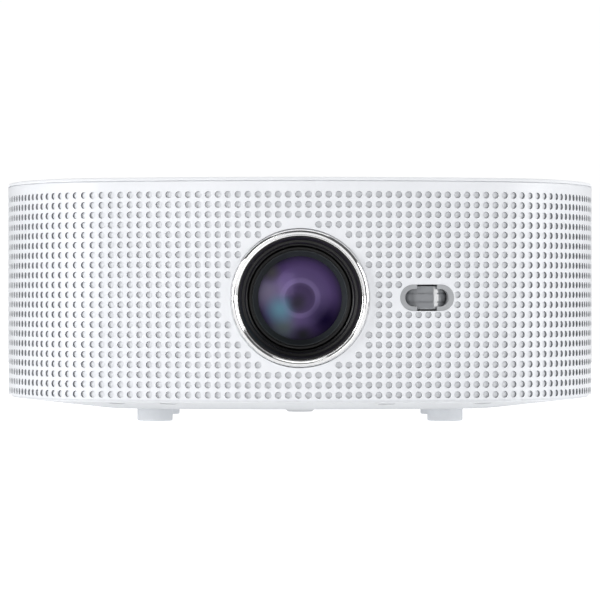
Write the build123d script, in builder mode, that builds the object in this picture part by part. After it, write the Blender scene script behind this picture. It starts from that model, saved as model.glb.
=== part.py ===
from build123d import *
import math
import os

# A compact home projector with an oval drum-shaped body. Millimetres, +Z up, the
# origin on the standing plane below the middle of the body, the lens facing -Y.

# ---------------------------------------------------------------- driving sizes
BODY_WIDTH = 202.0
BODY_DEPTH = 154.0
FRONT_R = 215.0            # plan radius of the front and rear faces
SIDE_R = 95.0              # plan radius of the two sides
CORNER_R = 42.0            # plan radius of the four corners
WALL = 2.2
GAP = 0.1                  # assembly gap between fixed plastic pieces
MOVING_GAP = 0.35          # gap round pieces that move

FOOT_TOP = 4.4             # underside of the base pan
WALL_BOTTOM = 8.4          # lower edge of the outer shell
BODY_TOP = 80.7
COVER_EDGE = 1.1           # thickness of the cover's visible rim
SEAM = 0.2                 # shadow gap between the cover and the shell
SHELL_TOP = BODY_TOP - COVER_EDGE - SEAM

LENS_Z = 41.5
FRONT_Y = -BODY_DEPTH / 2
REAR_Y = BODY_DEPTH / 2

# ---------------------------------------------------------------- plan outline
FRONT_CENTRE = Vector(0, FRONT_Y + FRONT_R)
SIDE_CENTRE = Vector(BODY_WIDTH / 2 - SIDE_R, 0)


def corner_centre():
    """Centre of the front right corner arc, tangent to the front arc and the side arc."""
    to_front = FRONT_R - CORNER_R
    to_side = SIDE_R - CORNER_R
    line = SIDE_CENTRE - FRONT_CENTRE
    along = (to_front**2 - to_side**2 + line.length**2) / (2 * line.length)
    across = math.sqrt(to_front**2 - along**2)
    unit = line.normalized()
    return FRONT_CENTRE + unit * along + Vector(-unit.Y, unit.X) * across


CORNER_CENTRE = corner_centre()


def heading(start, end):
    """Direction from one plan point to another, in degrees from +X."""
    return math.degrees(math.atan2(end.Y - start.Y, end.X - start.X))


FRONT_END = heading(FRONT_CENTRE, CORNER_CENTRE)
SIDE_END = heading(SIDE_CENTRE, CORNER_CENTRE)


def body_outline(inset=0.0):
    """Draw the oval plan, moved inwards by inset, in the sketch that is open."""
    with BuildLine() as outline:
        CenterArc(FRONT_CENTRE, FRONT_R - inset, -90, FRONT_END + 90)
        CenterArc(CORNER_CENTRE, CORNER_R - inset, FRONT_END, SIDE_END - FRONT_END)
        CenterArc(SIDE_CENTRE, SIDE_R - inset, SIDE_END, -SIDE_END)
        mirror(about=Plane.XZ)
        mirror(about=Plane.YZ)
    make_face(outline.edges())


def wall_y(x, inset=0.0):
    """Y of the front wall at x, inset from the outside face."""
    return FRONT_CENTRE.Y - math.sqrt((FRONT_R - inset) ** 2 - x**2)


def save(builder, name):
    """Label a finished piece and write its STEP file."""
    builder.part.label = name
    export_step(builder.part, f"parts/{name}.step")


os.makedirs("parts", exist_ok=True)

# ---------------------------------------------------------------- shell and base fastening
BOSS_INSET = 7.0           # boss axis, in from the outside face
BOSS_R = 5.2
BOSS_FOOT = 12.0
BOSS_TOP = 24.0
BOSS_SPOTS = [(x, wall_y(x, BOSS_INSET)) for x in (-60, -43, 28, 60)]
BOSS_SPOTS += [(x, -wall_y(x, BOSS_INSET)) for x in (-52, 52)]
SCREW_SHANK_R = 1.45
PILOT_R = 1.5

# ---------------------------------------------------------------- rear panel and its ports
PORT_Z = 28.0
PANEL_WIDTH = 67.6
PANEL_HEIGHT = 19.6
PANEL_FACE_Y = 74.4
PANEL_THICKNESS = 2.0
PANEL_RIM = 3.0            # frame moulded inside the shell round the rear opening
BOARD_REAR_Y = 61.1        # face of the main board that carries the ports
BOARD_THICKNESS = 1.6
DC_X, AV_X, HDMI_X, USB_X, IR_X = -26.0, -13.5, 2.5, 19.5, 30.3
HDMI_SIZE = (15.2, 6.2)
USB_SIZE = (14.2, 7.0)
DC_SIZE = (9.0, 11.0)
AV_SIZE = (8.0, 8.0)
AV_NECK_R = 3.2
IR_SIZE = (4.6, 4.6)
PORT_LIP = 0.2             # the ports stop this far behind the panel's face

# ---------------------------------------------------------------- lens opening and focus window
TRIM_R = 22.5
TRIM_INNER_R = 20.15
TRIM_PROUD = 0.9
FOCUS_ANGLE = 11.07        # the focus window faces this far round from straight ahead
FOCUS_Z = 41.6
WINDOW_WIDTH = 17.9
WINDOW_HEIGHT = 8.5
WINDOW_INNER_WIDTH = 14.6
WINDOW_INNER_HEIGHT = 5.7
NOTCH_WIDTH = 6.7
LIP_START = 0.2
LIP_THICKNESS = 0.8
WHEEL_R = 9.0
WHEEL_HEIGHT = 7.6
WHEEL_RECESS = 0.5         # depth of the wheel's crest below the shell's face

focus_normal = Vector(math.sin(math.radians(FOCUS_ANGLE)), -math.cos(math.radians(FOCUS_ANGLE)), 0)
window_centre = Vector(FRONT_CENTRE.X, FRONT_CENTRE.Y, FOCUS_Z) + focus_normal * FRONT_R
window_plane = Plane(
    origin=window_centre,
    x_dir=(-focus_normal.Y, focus_normal.X, 0),
    z_dir=focus_normal,
)
wheel_axis = window_centre - focus_normal * (WHEEL_R + WHEEL_RECESS)

# ---------------------------------------------------------------- outer shell
with BuildPart() as shell_cavity:
    with BuildSketch(Plane.XY.offset(WALL_BOTTOM)):
        body_outline(WALL)
    extrude(amount=SHELL_TOP - WALL_BOTTOM)
    with BuildSketch(Plane.XY.offset(BOSS_FOOT)):
        with Locations(*BOSS_SPOTS):
            Circle(BOSS_R)
    extrude(amount=BOSS_TOP - BOSS_FOOT, mode=Mode.SUBTRACT)
    with BuildSketch(Plane.XZ.offset(-PANEL_FACE_Y + PANEL_THICKNESS + 2)):
        with Locations((0, PORT_Z)):
            Rectangle(PANEL_WIDTH + 2 * PANEL_RIM, PANEL_HEIGHT + 2 * PANEL_RIM)
    extrude(amount=-2 * WALL - 5, mode=Mode.SUBTRACT)

with BuildPart() as outer_shell:
    with BuildSketch(Plane.XY.offset(WALL_BOTTOM)):
        body_outline()
    extrude(amount=SHELL_TOP - WALL_BOTTOM)
    add(shell_cavity.part, mode=Mode.SUBTRACT)
    with BuildSketch(Plane.XZ.offset(-PANEL_FACE_Y + PANEL_THICKNESS + 4)):
        with Locations((0, PORT_Z)):
            Rectangle(PANEL_WIDTH + 2 * GAP, PANEL_HEIGHT + 2 * GAP)
    extrude(amount=-4 * WALL - 4, mode=Mode.SUBTRACT)
    with BuildSketch(Plane.XZ.offset(-FRONT_Y + WALL)):
        with Locations((0, LENS_Z)):
            Circle(TRIM_R + GAP)
    extrude(amount=-4 * WALL, mode=Mode.SUBTRACT)
    with BuildSketch(window_plane.offset(WALL)):
        SlotOverall(WINDOW_WIDTH + 2 * GAP, WINDOW_HEIGHT + 2 * GAP)
    extrude(amount=-3 * WALL, mode=Mode.SUBTRACT)
    with BuildSketch(Plane.XY.offset(BOSS_FOOT)):
        with Locations(*BOSS_SPOTS):
            Circle(PILOT_R)
    extrude(amount=BOSS_TOP - BOSS_FOOT, mode=Mode.SUBTRACT)
save(outer_shell, "outer_shell")

# ---------------------------------------------------------------- top cover
COVER_PLATE = 2.0
COVER_LIP = 5.0
COVER_LIP_WALL = 2.0
COVER_ROUND = 0.8
BUTTON_R = 7.0
BUTTON_Y = 45.0
BUTTON_BOARD_TOP = 73.6
BUTTON_BOARD_SIZE = (34.0, 18.0)
BUTTON_POST_X = 13.5

with BuildPart() as top_cover:
    with BuildSketch(Plane.XY.offset(BODY_TOP - COVER_EDGE)):
        body_outline()
    extrude(amount=COVER_EDGE)
    fillet(top_cover.edges().group_by(Axis.Z)[-1], COVER_ROUND)
    with BuildSketch(Plane.XY.offset(SHELL_TOP)):
        body_outline(WALL / 4)
    extrude(amount=SEAM)
    with BuildSketch(Plane.XY.offset(BODY_TOP - COVER_PLATE)):
        body_outline(WALL + GAP)
    extrude(amount=COVER_PLATE - COVER_EDGE)
    with BuildSketch(Plane.XY.offset(SHELL_TOP - COVER_LIP)):
        body_outline(WALL + GAP)
        with BuildSketch(mode=Mode.SUBTRACT):
            body_outline(WALL + GAP + COVER_LIP_WALL)
    extrude(amount=COVER_LIP)
    with BuildSketch(Plane.XY.offset(BUTTON_BOARD_TOP)):
        with Locations((-BUTTON_POST_X, BUTTON_Y), (BUTTON_POST_X, BUTTON_Y)):
            Circle(2.5)
    extrude(amount=BODY_TOP - COVER_EDGE - BUTTON_BOARD_TOP)
    with Locations((0, BUTTON_Y, BODY_TOP)):
        Hole(BUTTON_R + MOVING_GAP, depth=2 * COVER_PLATE)
save(top_cover, "top_cover")

# ---------------------------------------------------------------- base pan
PAN_INSET = 1.2
PAN_SIDE = 0.8             # height of the pan's upright edge, a shadow line under the shell
TAPER_RUN = 28.0
TAPER_RISE = WALL_BOTTOM - FOOT_TOP - PAN_SIDE
PAN_LIP_TOP = BOSS_FOOT - 2 * GAP
PAN_LIP_WALL = 2.0
FOOT_X, FOOT_Y = 49.0, 30.0
FOOT_R = 6.0
PEG_R, PEG_LENGTH = 2.4, 3.0
TRIPOD_BOSS_R = 5.5
TRIPOD_FACE_Z = 2.0
INSERT_R = 4.0
INSERT_LENGTH = 9.0
THREAD_R = 3.175           # quarter-inch tripod thread, at its nominal radius
THREAD_DEPTH = 8.0
ENGINE_BOTTOM = 13.5
EAR_THICKNESS = 3.0        # screw ears of the light engine and of the focus bracket
SPEAKER_BOTTOM = 13.0
DRIVER_BOARD_Z = 16.0
FAN_BOTTOM = 15.0
FAN_Y = -8.0
FAN_FACE_X = 76.0
SPEAKER_SPOT = (69.0, 44.7)

RECESS_R = 2.9             # the sunk screws' recesses
SCREW_SEAT_Z = 9.0
SCREW_CLEAR = 0.25
PILOT_BOTTOM = 7.5

engine_posts = [(x, y) for x in (-46.5, 46.5) for y in (-16.0, 34.0)]
foot_spots = [(x, y) for x in (-FOOT_X, FOOT_X) for y in (-FOOT_Y, FOOT_Y)]
driver_posts = [(-72.0, -46.0), (-48.0, -46.0)]
fan_rests = [(s * (FAN_FACE_X + 7), FAN_Y + y) for s in (-1, 1) for y in (-20, 20)]
speaker_posts = [(s * SPEAKER_SPOT[0], SPEAKER_SPOT[1]) for s in (-1, 1)]
bracket_post = (46.0, -46.0)
SCREW_POST_R = 4.2
ENGINE_POST_R = 4.0
FOOT_POST_R = 5.0
FOOT_POST_TOP = 9.0
DRIVER_POST_R = 3.0
FAN_REST_R = 3.5
SPEAKER_POST_R = 6.0
TRIPOD_POST_R = 7.0
TRIPOD_POST_TOP = 12.5
posts = [(spot, BOSS_FOOT, SCREW_POST_R) for spot in BOSS_SPOTS]
posts += [(spot, ENGINE_BOTTOM, ENGINE_POST_R) for spot in [*engine_posts, bracket_post]]
posts += [(spot, FOOT_POST_TOP, FOOT_POST_R) for spot in foot_spots]
posts += [(spot, DRIVER_BOARD_Z, DRIVER_POST_R) for spot in driver_posts]
posts += [(spot, FAN_BOTTOM, FAN_REST_R) for spot in fan_rests]
posts += [(spot, SPEAKER_BOTTOM, SPEAKER_POST_R) for spot in speaker_posts]
posts += [((0, 0), TRIPOD_POST_TOP, TRIPOD_POST_R)]

with BuildPart() as pan_cavity:
    with BuildSketch(Plane.XY.offset(FOOT_TOP + WALL)):
        body_outline(WALL + GAP + PAN_LIP_WALL)
    extrude(amount=BOSS_FOOT)
    chamfer(pan_cavity.edges().group_by(Axis.Z)[0], TAPER_RISE - 0.1, TAPER_RUN - 3)
    for spot, top, radius in posts:
        with BuildSketch(Plane.XY):
            with Locations(spot):
                Circle(radius)
        extrude(amount=2 * BOSS_FOOT, mode=Mode.SUBTRACT)

with BuildPart() as base_pan:
    with BuildSketch(Plane.XY.offset(FOOT_TOP)):
        body_outline(PAN_INSET)
    extrude(amount=WALL_BOTTOM - FOOT_TOP)
    chamfer(base_pan.edges().group_by(Axis.Z)[0], TAPER_RISE, TAPER_RUN)
    with BuildSketch(Plane.XY.offset(WALL_BOTTOM)):
        body_outline(WALL + GAP)
    extrude(amount=PAN_LIP_TOP - WALL_BOTTOM)
    for spot, top, radius in posts:
        with BuildSketch(Plane.XY.offset(WALL_BOTTOM - 0.4)):
            with Locations(spot):
                Circle(radius)
        extrude(amount=top - WALL_BOTTOM + 0.4)
    add(pan_cavity.part, mode=Mode.SUBTRACT)
    with BuildSketch(Plane.XY.offset(TRIPOD_FACE_Z)):
        Circle(TRIPOD_BOSS_R)
    extrude(amount=FOOT_TOP - TRIPOD_FACE_Z)
    chamfer(base_pan.edges().group_by(Axis.Z)[0], 1.2)
    with BuildSketch(Plane.XY.offset(TRIPOD_FACE_Z)):
        Circle(INSERT_R)
    extrude(amount=INSERT_LENGTH, mode=Mode.SUBTRACT)
    with BuildSketch(Plane.XY.offset(FOOT_TOP)):
        with Locations(*foot_spots):
            Circle(PEG_R + GAP)
    extrude(amount=PEG_LENGTH + GAP, mode=Mode.SUBTRACT)
    with BuildSketch(Plane.XY.offset(FOOT_TOP)):
        with Locations(*BOSS_SPOTS):
            Circle(RECESS_R)
    extrude(amount=SCREW_SEAT_Z - FOOT_TOP, mode=Mode.SUBTRACT)
    with BuildSketch(Plane.XY.offset(SCREW_SEAT_Z)):
        with Locations(*BOSS_SPOTS):
            Circle(SCREW_SHANK_R + SCREW_CLEAR)
    extrude(amount=BOSS_FOOT, mode=Mode.SUBTRACT)
    with BuildSketch(Plane.XY.offset(PILOT_BOTTOM)):
        with Locations(*engine_posts, bracket_post):
            Circle(PILOT_R)
    extrude(amount=BOSS_FOOT, mode=Mode.SUBTRACT)
save(base_pan, "base_pan")

with BuildPart() as tripod_insert:
    with BuildSketch(Plane.XY.offset(TRIPOD_FACE_Z)):
        Circle(INSERT_R)
    extrude(amount=INSERT_LENGTH)
    with BuildSketch(Plane.XY.offset(TRIPOD_FACE_Z)):
        Circle(THREAD_R)
    extrude(amount=THREAD_DEPTH, mode=Mode.SUBTRACT)
save(tripod_insert, "tripod_insert")

FOOT_NAMES = ["foot_front_left", "foot_rear_left", "foot_front_right", "foot_rear_right"]
for name, spot in zip(FOOT_NAMES, foot_spots):
    with BuildPart() as foot:
        with BuildSketch():
            with Locations(spot):
                Circle(FOOT_R)
        extrude(amount=FOOT_TOP)
        fillet(foot.edges().group_by(Axis.Z)[0], 0.6)
        with BuildSketch(Plane.XY.offset(FOOT_TOP)):
            with Locations(spot):
                Circle(PEG_R)
        extrude(amount=PEG_LENGTH)
    save(foot, name)


CROSS_LENGTH, CROSS_WIDTH = 2.6, 0.5


def screws(spots, head_z, head_height, shank_end, head_r, shank_r):
    """Upright cross-head screws; the shank runs from the head towards shank_end."""
    up = 1 if shank_end > head_z else -1
    seat = head_z + up * head_height
    with BuildPart() as group:
        with BuildSketch(Plane.XY.offset(head_z)):
            with Locations(*spots):
                Circle(head_r)
        extrude(amount=up * head_height)
        with BuildSketch(Plane.XY.offset(seat)):
            with Locations(*spots):
                Circle(shank_r)
        extrude(amount=shank_end - seat)
        with BuildSketch(Plane.XY.offset(head_z)):
            with Locations(*spots):
                Rectangle(CROSS_LENGTH, CROSS_WIDTH)
                Rectangle(CROSS_WIDTH, CROSS_LENGTH)
        extrude(amount=up * head_height / 2, mode=Mode.SUBTRACT)
    return group


BASE_SCREW_HEAD = 1.5
BASE_SCREW_HEAD_R = 2.6
BASE_SCREW_TOP = 21.0
head_z = SCREW_SEAT_Z - BASE_SCREW_HEAD
base_screws = screws(BOSS_SPOTS, head_z, BASE_SCREW_HEAD, BASE_SCREW_TOP, BASE_SCREW_HEAD_R, SCREW_SHANK_R)
save(base_screws, "base_screws")

# ---------------------------------------------------------------- lens trim and shroud


def turned(points):
    """Turn a closed outline of (radius, y) points about the lens axis."""
    with BuildPart() as piece:
        with BuildSketch(Plane.XY.offset(LENS_Z)):
            with BuildLine():
                Polyline(*points, close=True)
            make_face()
        revolve(axis=Axis((0, 0, LENS_Z), (0, 1, 0)))
    return piece


trim_back_y = -71.0
lens_trim_ring = turned([
    (TRIM_INNER_R, FRONT_Y + 0.1),
    (TRIM_R - 0.6, FRONT_Y - TRIM_PROUD),
    (TRIM_R, FRONT_Y - TRIM_PROUD + 0.6),
    (TRIM_R, trim_back_y - 2),
    (TRIM_R + 3, trim_back_y - 2),
    (TRIM_R + 3, trim_back_y),
    (TRIM_INNER_R, trim_back_y),
])
save(lens_trim_ring, "lens_trim_ring")

BARREL_R = 16.8
SHROUD_BORE_R = BARREL_R + MOVING_GAP
SHROUD_BACK_Y = -60.0
lens_shroud = turned([
    (TRIM_INNER_R, FRONT_Y + 0.2),
    (TRIM_INNER_R, SHROUD_BACK_Y - 6),
    (SHROUD_BORE_R + 1.2, SHROUD_BACK_Y - 4),
    (SHROUD_BORE_R + 1.2, SHROUD_BACK_Y),
    (SHROUD_BORE_R, SHROUD_BACK_Y),
    (SHROUD_BORE_R, -69.5),
    (SHROUD_BORE_R + 0.5, -69.8),
    (SHROUD_BORE_R + 0.9, -72.6),
    (SHROUD_BORE_R + 1.7, -72.9),
    (SHROUD_BORE_R + 2.5, FRONT_Y + 0.2),
])
save(lens_shroud, "lens_shroud")

# ---------------------------------------------------------------- focusing lens
FOCUS_TRAVEL = 3.0
BARREL_FRONT_Y = -68.5
BARREL_BACK_Y = -28.0
RING_SEAT_Y = -61.5
FRONT_BORE_BACK_Y = -54.0
MIDDLE_BORE_BACK_Y = -44.0
FRONT_GLASS_R = 14.5
MIDDLE_GLASS_R = 12.4
REAR_GLASS_R = 13.9
RING_R = 15.6

lens_barrel = turned([
    (RING_R, BARREL_FRONT_Y + 0.4),
    (RING_R + 0.4, BARREL_FRONT_Y),
    (BARREL_R - 0.3, BARREL_FRONT_Y),
    (BARREL_R, BARREL_FRONT_Y + 0.3),
    (BARREL_R, BARREL_BACK_Y),
    (REAR_GLASS_R + GAP, BARREL_BACK_Y),
    (REAR_GLASS_R + GAP, MIDDLE_BORE_BACK_Y),
    (MIDDLE_GLASS_R + GAP, MIDDLE_BORE_BACK_Y),
    (MIDDLE_GLASS_R + GAP, FRONT_BORE_BACK_Y),
    (FRONT_GLASS_R + GAP, FRONT_BORE_BACK_Y),
    (FRONT_GLASS_R + GAP, RING_SEAT_Y),
    (RING_R, RING_SEAT_Y),
])
save(lens_barrel, "lens_barrel")

RING_BORE_R = 13.75
RING_LIP = 0.7
RING_WALL = 0.3
RING_SUNK = 0.8            # how far the ring stops behind the barrel's front edge
lens_retaining_ring = turned([
    (RING_BORE_R, RING_SEAT_Y - RING_LIP),
    (RING_BORE_R, RING_SEAT_Y),
    (RING_R, RING_SEAT_Y),
    (RING_R, BARREL_FRONT_Y + RING_SUNK),
    (RING_R - RING_WALL, BARREL_FRONT_Y + RING_SUNK),
    (RING_R - RING_WALL, RING_SEAT_Y - 1.5 * RING_LIP),
])
save(lens_retaining_ring, "lens_retaining_ring")


def glass_element(front_y, back_y, radius, front_bulge, back_bulge):
    """A round lens between two edge planes; a bulge is positive where the face is convex."""
    with BuildPart() as element:
        with BuildSketch(Plane.XY.offset(LENS_Z)):
            with BuildLine():
                Line((0, back_y + back_bulge), (0, front_y - front_bulge))
                front_face(front_y, radius, front_bulge)
                Line((radius, front_y), (radius, back_y))
                back_face(back_y, radius, back_bulge)
            make_face()
        revolve(axis=Axis((0, 0, LENS_Z), (0, 1, 0)))
    return element


def sag_arc(edge_y, crown_y, radius):
    """The half profile of a spherical face, from its crown on the axis to its rim."""
    sag = edge_y - crown_y
    sphere_r = (radius**2 + sag**2) / (2 * abs(sag))
    centre_y = crown_y + math.copysign(sphere_r, sag)
    middle = radius / 2
    middle_y = centre_y - math.copysign(math.sqrt(sphere_r**2 - middle**2), sag)
    ThreePointArc((0, crown_y), (middle, middle_y), (radius, edge_y))


def front_face(front_y, radius, bulge):
    sag_arc(front_y, front_y - bulge, radius)


def back_face(back_y, radius, bulge):
    sag_arc(back_y, back_y + bulge, radius)


front_lens = glass_element(RING_SEAT_Y + 0.5, -56.5, FRONT_GLASS_R, 3.4, 1.6)
save(front_lens, "front_lens")
middle_lens = glass_element(-52.5, -46.0, MIDDLE_GLASS_R, -2.0, -2.2)
save(middle_lens, "middle_lens")
rear_lens = glass_element(-41.0, -36.0, REAR_GLASS_R, 2.2, 2.6)
save(rear_lens, "rear_lens")

# ---------------------------------------------------------------- lens guide
GUIDE_FRONT_Y = -57.0
ENGINE_FRONT_Y = -24.0
RACK_BOTTOM, RACK_TOP = 28.0, 34.0

with BuildPart() as lens_guide:
    with BuildSketch(Plane.XZ.offset(-GUIDE_FRONT_Y)):
        with Locations((0, LENS_Z)):
            Circle(19.2)
    extrude(amount=GUIDE_FRONT_Y - ENGINE_FRONT_Y)
    with BuildSketch(Plane.XZ.offset(-ENGINE_FRONT_Y)):
        with Locations((0, LENS_Z)):
            Circle(25)
    extrude(amount=3)
    with BuildSketch(Plane.XZ.offset(-GUIDE_FRONT_Y)):
        with Locations((0, LENS_Z)):
            Circle(BARREL_R + 0.06)
    extrude(amount=GUIDE_FRONT_Y - ENGINE_FRONT_Y, mode=Mode.SUBTRACT)
    with BuildSketch(Plane.XZ.offset(-GUIDE_FRONT_Y)):
        with Locations((15, (RACK_BOTTOM + RACK_TOP) / 2)):
            Rectangle(20, RACK_TOP - RACK_BOTTOM + 1)
    extrude(amount=-20, mode=Mode.SUBTRACT)
save(lens_guide, "lens_guide")

# ---------------------------------------------------------------- focus rack, pinion and wheel
GEAR_MODULE = 0.6
PINION_TEETH = 16
PITCH_R = GEAR_MODULE * PINION_TEETH / 2
TOOTH_PITCH = math.pi * GEAR_MODULE
ADDENDUM = 0.45
DEDENDUM = 0.75
TOOTH_TIP, TOOTH_ROOT = 0.26, 0.66
RACK_LINE_X = wheel_axis.X - PITCH_R
RACK_FRONT_Y = -68.0
RACK_BACK_Y = -46.0
RACK_THICKNESS = 4.0
SHAFT_R = 1.5
PINION_TOP = RACK_TOP + 1.0

with BuildPart() as focus_rack:
    with BuildSketch(Plane.XY.offset(RACK_BOTTOM)):
        with Locations((RACK_LINE_X - DEDENDUM, (RACK_FRONT_Y + RACK_BACK_Y) / 2)):
            Rectangle(RACK_THICKNESS, RACK_BACK_Y - RACK_FRONT_Y, align=(Align.MAX, Align.CENTER))
        first = math.ceil((RACK_FRONT_Y + 0.5 - wheel_axis.Y) / TOOTH_PITCH - 0.5)
        last = math.floor((RACK_BACK_Y - 6 - wheel_axis.Y) / TOOTH_PITCH - 0.5)
        tooth_ys = [wheel_axis.Y + (n + 0.5) * TOOTH_PITCH for n in range(first, last + 1)]
        with Locations(*[(RACK_LINE_X, tooth_y) for tooth_y in tooth_ys]):
            Polygon(
                (-DEDENDUM, -TOOTH_ROOT), (ADDENDUM, -TOOTH_TIP), (ADDENDUM, TOOTH_TIP),
                (-DEDENDUM, TOOTH_ROOT), align=None,
            )
        with Locations((RACK_LINE_X - DEDENDUM - RACK_THICKNESS / 2, RACK_BACK_Y)):
            Rectangle(RACK_LINE_X - RACK_THICKNESS, 6, align=(Align.MAX, Align.MAX))
    extrude(amount=RACK_TOP - RACK_BOTTOM)
    with BuildSketch(Plane.XZ.offset(-RACK_FRONT_Y)):
        with Locations((0, LENS_Z)):
            Circle(BARREL_R)
    extrude(amount=RACK_FRONT_Y - RACK_BACK_Y - 1, mode=Mode.SUBTRACT)
save(focus_rack, "focus_rack")

wheel_spot = (wheel_axis.X, wheel_axis.Y)
with BuildPart() as focus_pinion:
    with BuildSketch(Plane(origin=(*wheel_spot, RACK_BOTTOM - 0.5))):
        Circle(PITCH_R - DEDENDUM)
        with PolarLocations(PITCH_R, PINION_TEETH):
            Polygon(
                (-DEDENDUM - 0.3, -TOOTH_ROOT), (ADDENDUM, -TOOTH_TIP), (ADDENDUM, TOOTH_TIP),
                (-DEDENDUM - 0.3, TOOTH_ROOT), align=None,
            )
        Circle(SHAFT_R, mode=Mode.SUBTRACT)
    extrude(amount=PINION_TOP - RACK_BOTTOM)
save(focus_pinion, "focus_pinion")

GROOVE_OFFSET = 1.4
GROOVE_WIDTH = 0.45
GROOVE_DEPTH = 0.4
with BuildPart() as focus_wheel:
    with BuildSketch(Plane(origin=(*wheel_spot, FOCUS_Z - WHEEL_HEIGHT / 2))):
        Circle(WHEEL_R)
    extrude(amount=WHEEL_HEIGHT)
    fillet(focus_wheel.edges(), 0.35)
    for offset_z in (-GROOVE_OFFSET, GROOVE_OFFSET):
        with BuildSketch(Plane(origin=(*wheel_spot, FOCUS_Z + offset_z - GROOVE_WIDTH / 2))):
            Circle(WHEEL_R + 1)
            Circle(WHEEL_R - GROOVE_DEPTH, mode=Mode.SUBTRACT)
        extrude(amount=GROOVE_WIDTH, mode=Mode.SUBTRACT)
    with BuildSketch(Plane(origin=(*wheel_spot, FOCUS_Z - WHEEL_HEIGHT))):
        Circle(SHAFT_R)
    extrude(amount=2 * WHEEL_HEIGHT, mode=Mode.SUBTRACT)
save(focus_wheel, "focus_wheel")

ARM_THICKNESS = 2.5
LOW_ARM_Z = 22.0
HIGH_ARM_Z = 50.0
with BuildPart() as focus_shaft:
    with BuildSketch(Plane(origin=(*wheel_spot, LOW_ARM_Z - 0.5))):
        Circle(SHAFT_R)
    extrude(amount=HIGH_ARM_Z - LOW_ARM_Z + ARM_THICKNESS + 1)
save(focus_shaft, "focus_shaft")

BRACKET_WEB_Y = -52.5
BRACKET_LEFT_X, BRACKET_RIGHT_X = 36.0, 52.0
with BuildPart() as focus_bracket:
    with BuildSketch(Plane.XY.offset(ENGINE_BOTTOM)):
        with Locations((BRACKET_LEFT_X, BRACKET_WEB_Y)):
            Rectangle(BRACKET_RIGHT_X - BRACKET_LEFT_X, 2.5, align=(Align.MIN, Align.MIN))
    extrude(amount=HIGH_ARM_Z + ARM_THICKNESS - ENGINE_BOTTOM)
    with BuildSketch(Plane.XY.offset(ENGINE_BOTTOM)):
        with Locations((BRACKET_LEFT_X + 3, BRACKET_WEB_Y)):
            Rectangle(13, 11, align=(Align.MIN, Align.MIN))
    extrude(amount=EAR_THICKNESS)
    for arm_z in (LOW_ARM_Z, HIGH_ARM_Z):
        with BuildSketch(Plane.XY.offset(arm_z)):
            with Locations((wheel_axis.X, (wheel_axis.Y + BRACKET_WEB_Y) / 2)):
                Rectangle(8, BRACKET_WEB_Y - wheel_axis.Y)
            with Locations(wheel_spot):
                Circle(4)
                Circle(SHAFT_R + 0.06, mode=Mode.SUBTRACT)
        extrude(amount=ARM_THICKNESS)
    with BuildSketch(Plane.XY.offset(ENGINE_BOTTOM)):
        with Locations(bracket_post):
            Circle(SCREW_SHANK_R + SCREW_CLEAR)
    extrude(amount=EAR_THICKNESS, mode=Mode.SUBTRACT)
save(focus_bracket, "focus_bracket")

FLANGE_START = 2.6
FLANGE_THICKNESS = 1.4
with BuildPart() as focus_bezel:
    with BuildSketch(window_plane.offset(-LIP_START)):
        SlotOverall(WINDOW_WIDTH, WINDOW_HEIGHT)
    extrude(amount=LIP_START - FLANGE_START)
    with BuildSketch(window_plane.offset(-FLANGE_START)):
        SlotOverall(WINDOW_WIDTH + 5, WINDOW_HEIGHT + 5)
    extrude(amount=-FLANGE_THICKNESS)
    with BuildSketch(window_plane):
        SlotOverall(WINDOW_INNER_WIDTH, WINDOW_INNER_HEIGHT)
        Rectangle(NOTCH_WIDTH, WINDOW_HEIGHT + 2 * GAP)
    extrude(amount=-FLANGE_START - FLANGE_THICKNESS, mode=Mode.SUBTRACT)
    with BuildSketch(Plane(origin=(*wheel_spot, FOCUS_Z - WHEEL_HEIGHT / 2 - MOVING_GAP))):
        Circle(WHEEL_R + MOVING_GAP)
    extrude(amount=WHEEL_HEIGHT + 2 * MOVING_GAP, mode=Mode.SUBTRACT)
save(focus_bezel, "focus_bezel")

# ---------------------------------------------------------------- light engine
ENGINE_WIDTH = 84.0
ENGINE_TOP = 69.5
ENGINE_BACK_Y = 41.0
ENGINE_WALL = 2.0
PLATE = 3.0
APERTURE_R = 16.0
CONDENSER_R = 14.0
INNER_HALF = ENGINE_WIDTH / 2 - ENGINE_WALL
FLOOR_Z = ENGINE_BOTTOM + ENGINE_WALL
LID_Z = ENGINE_TOP - ENGINE_WALL

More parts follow.
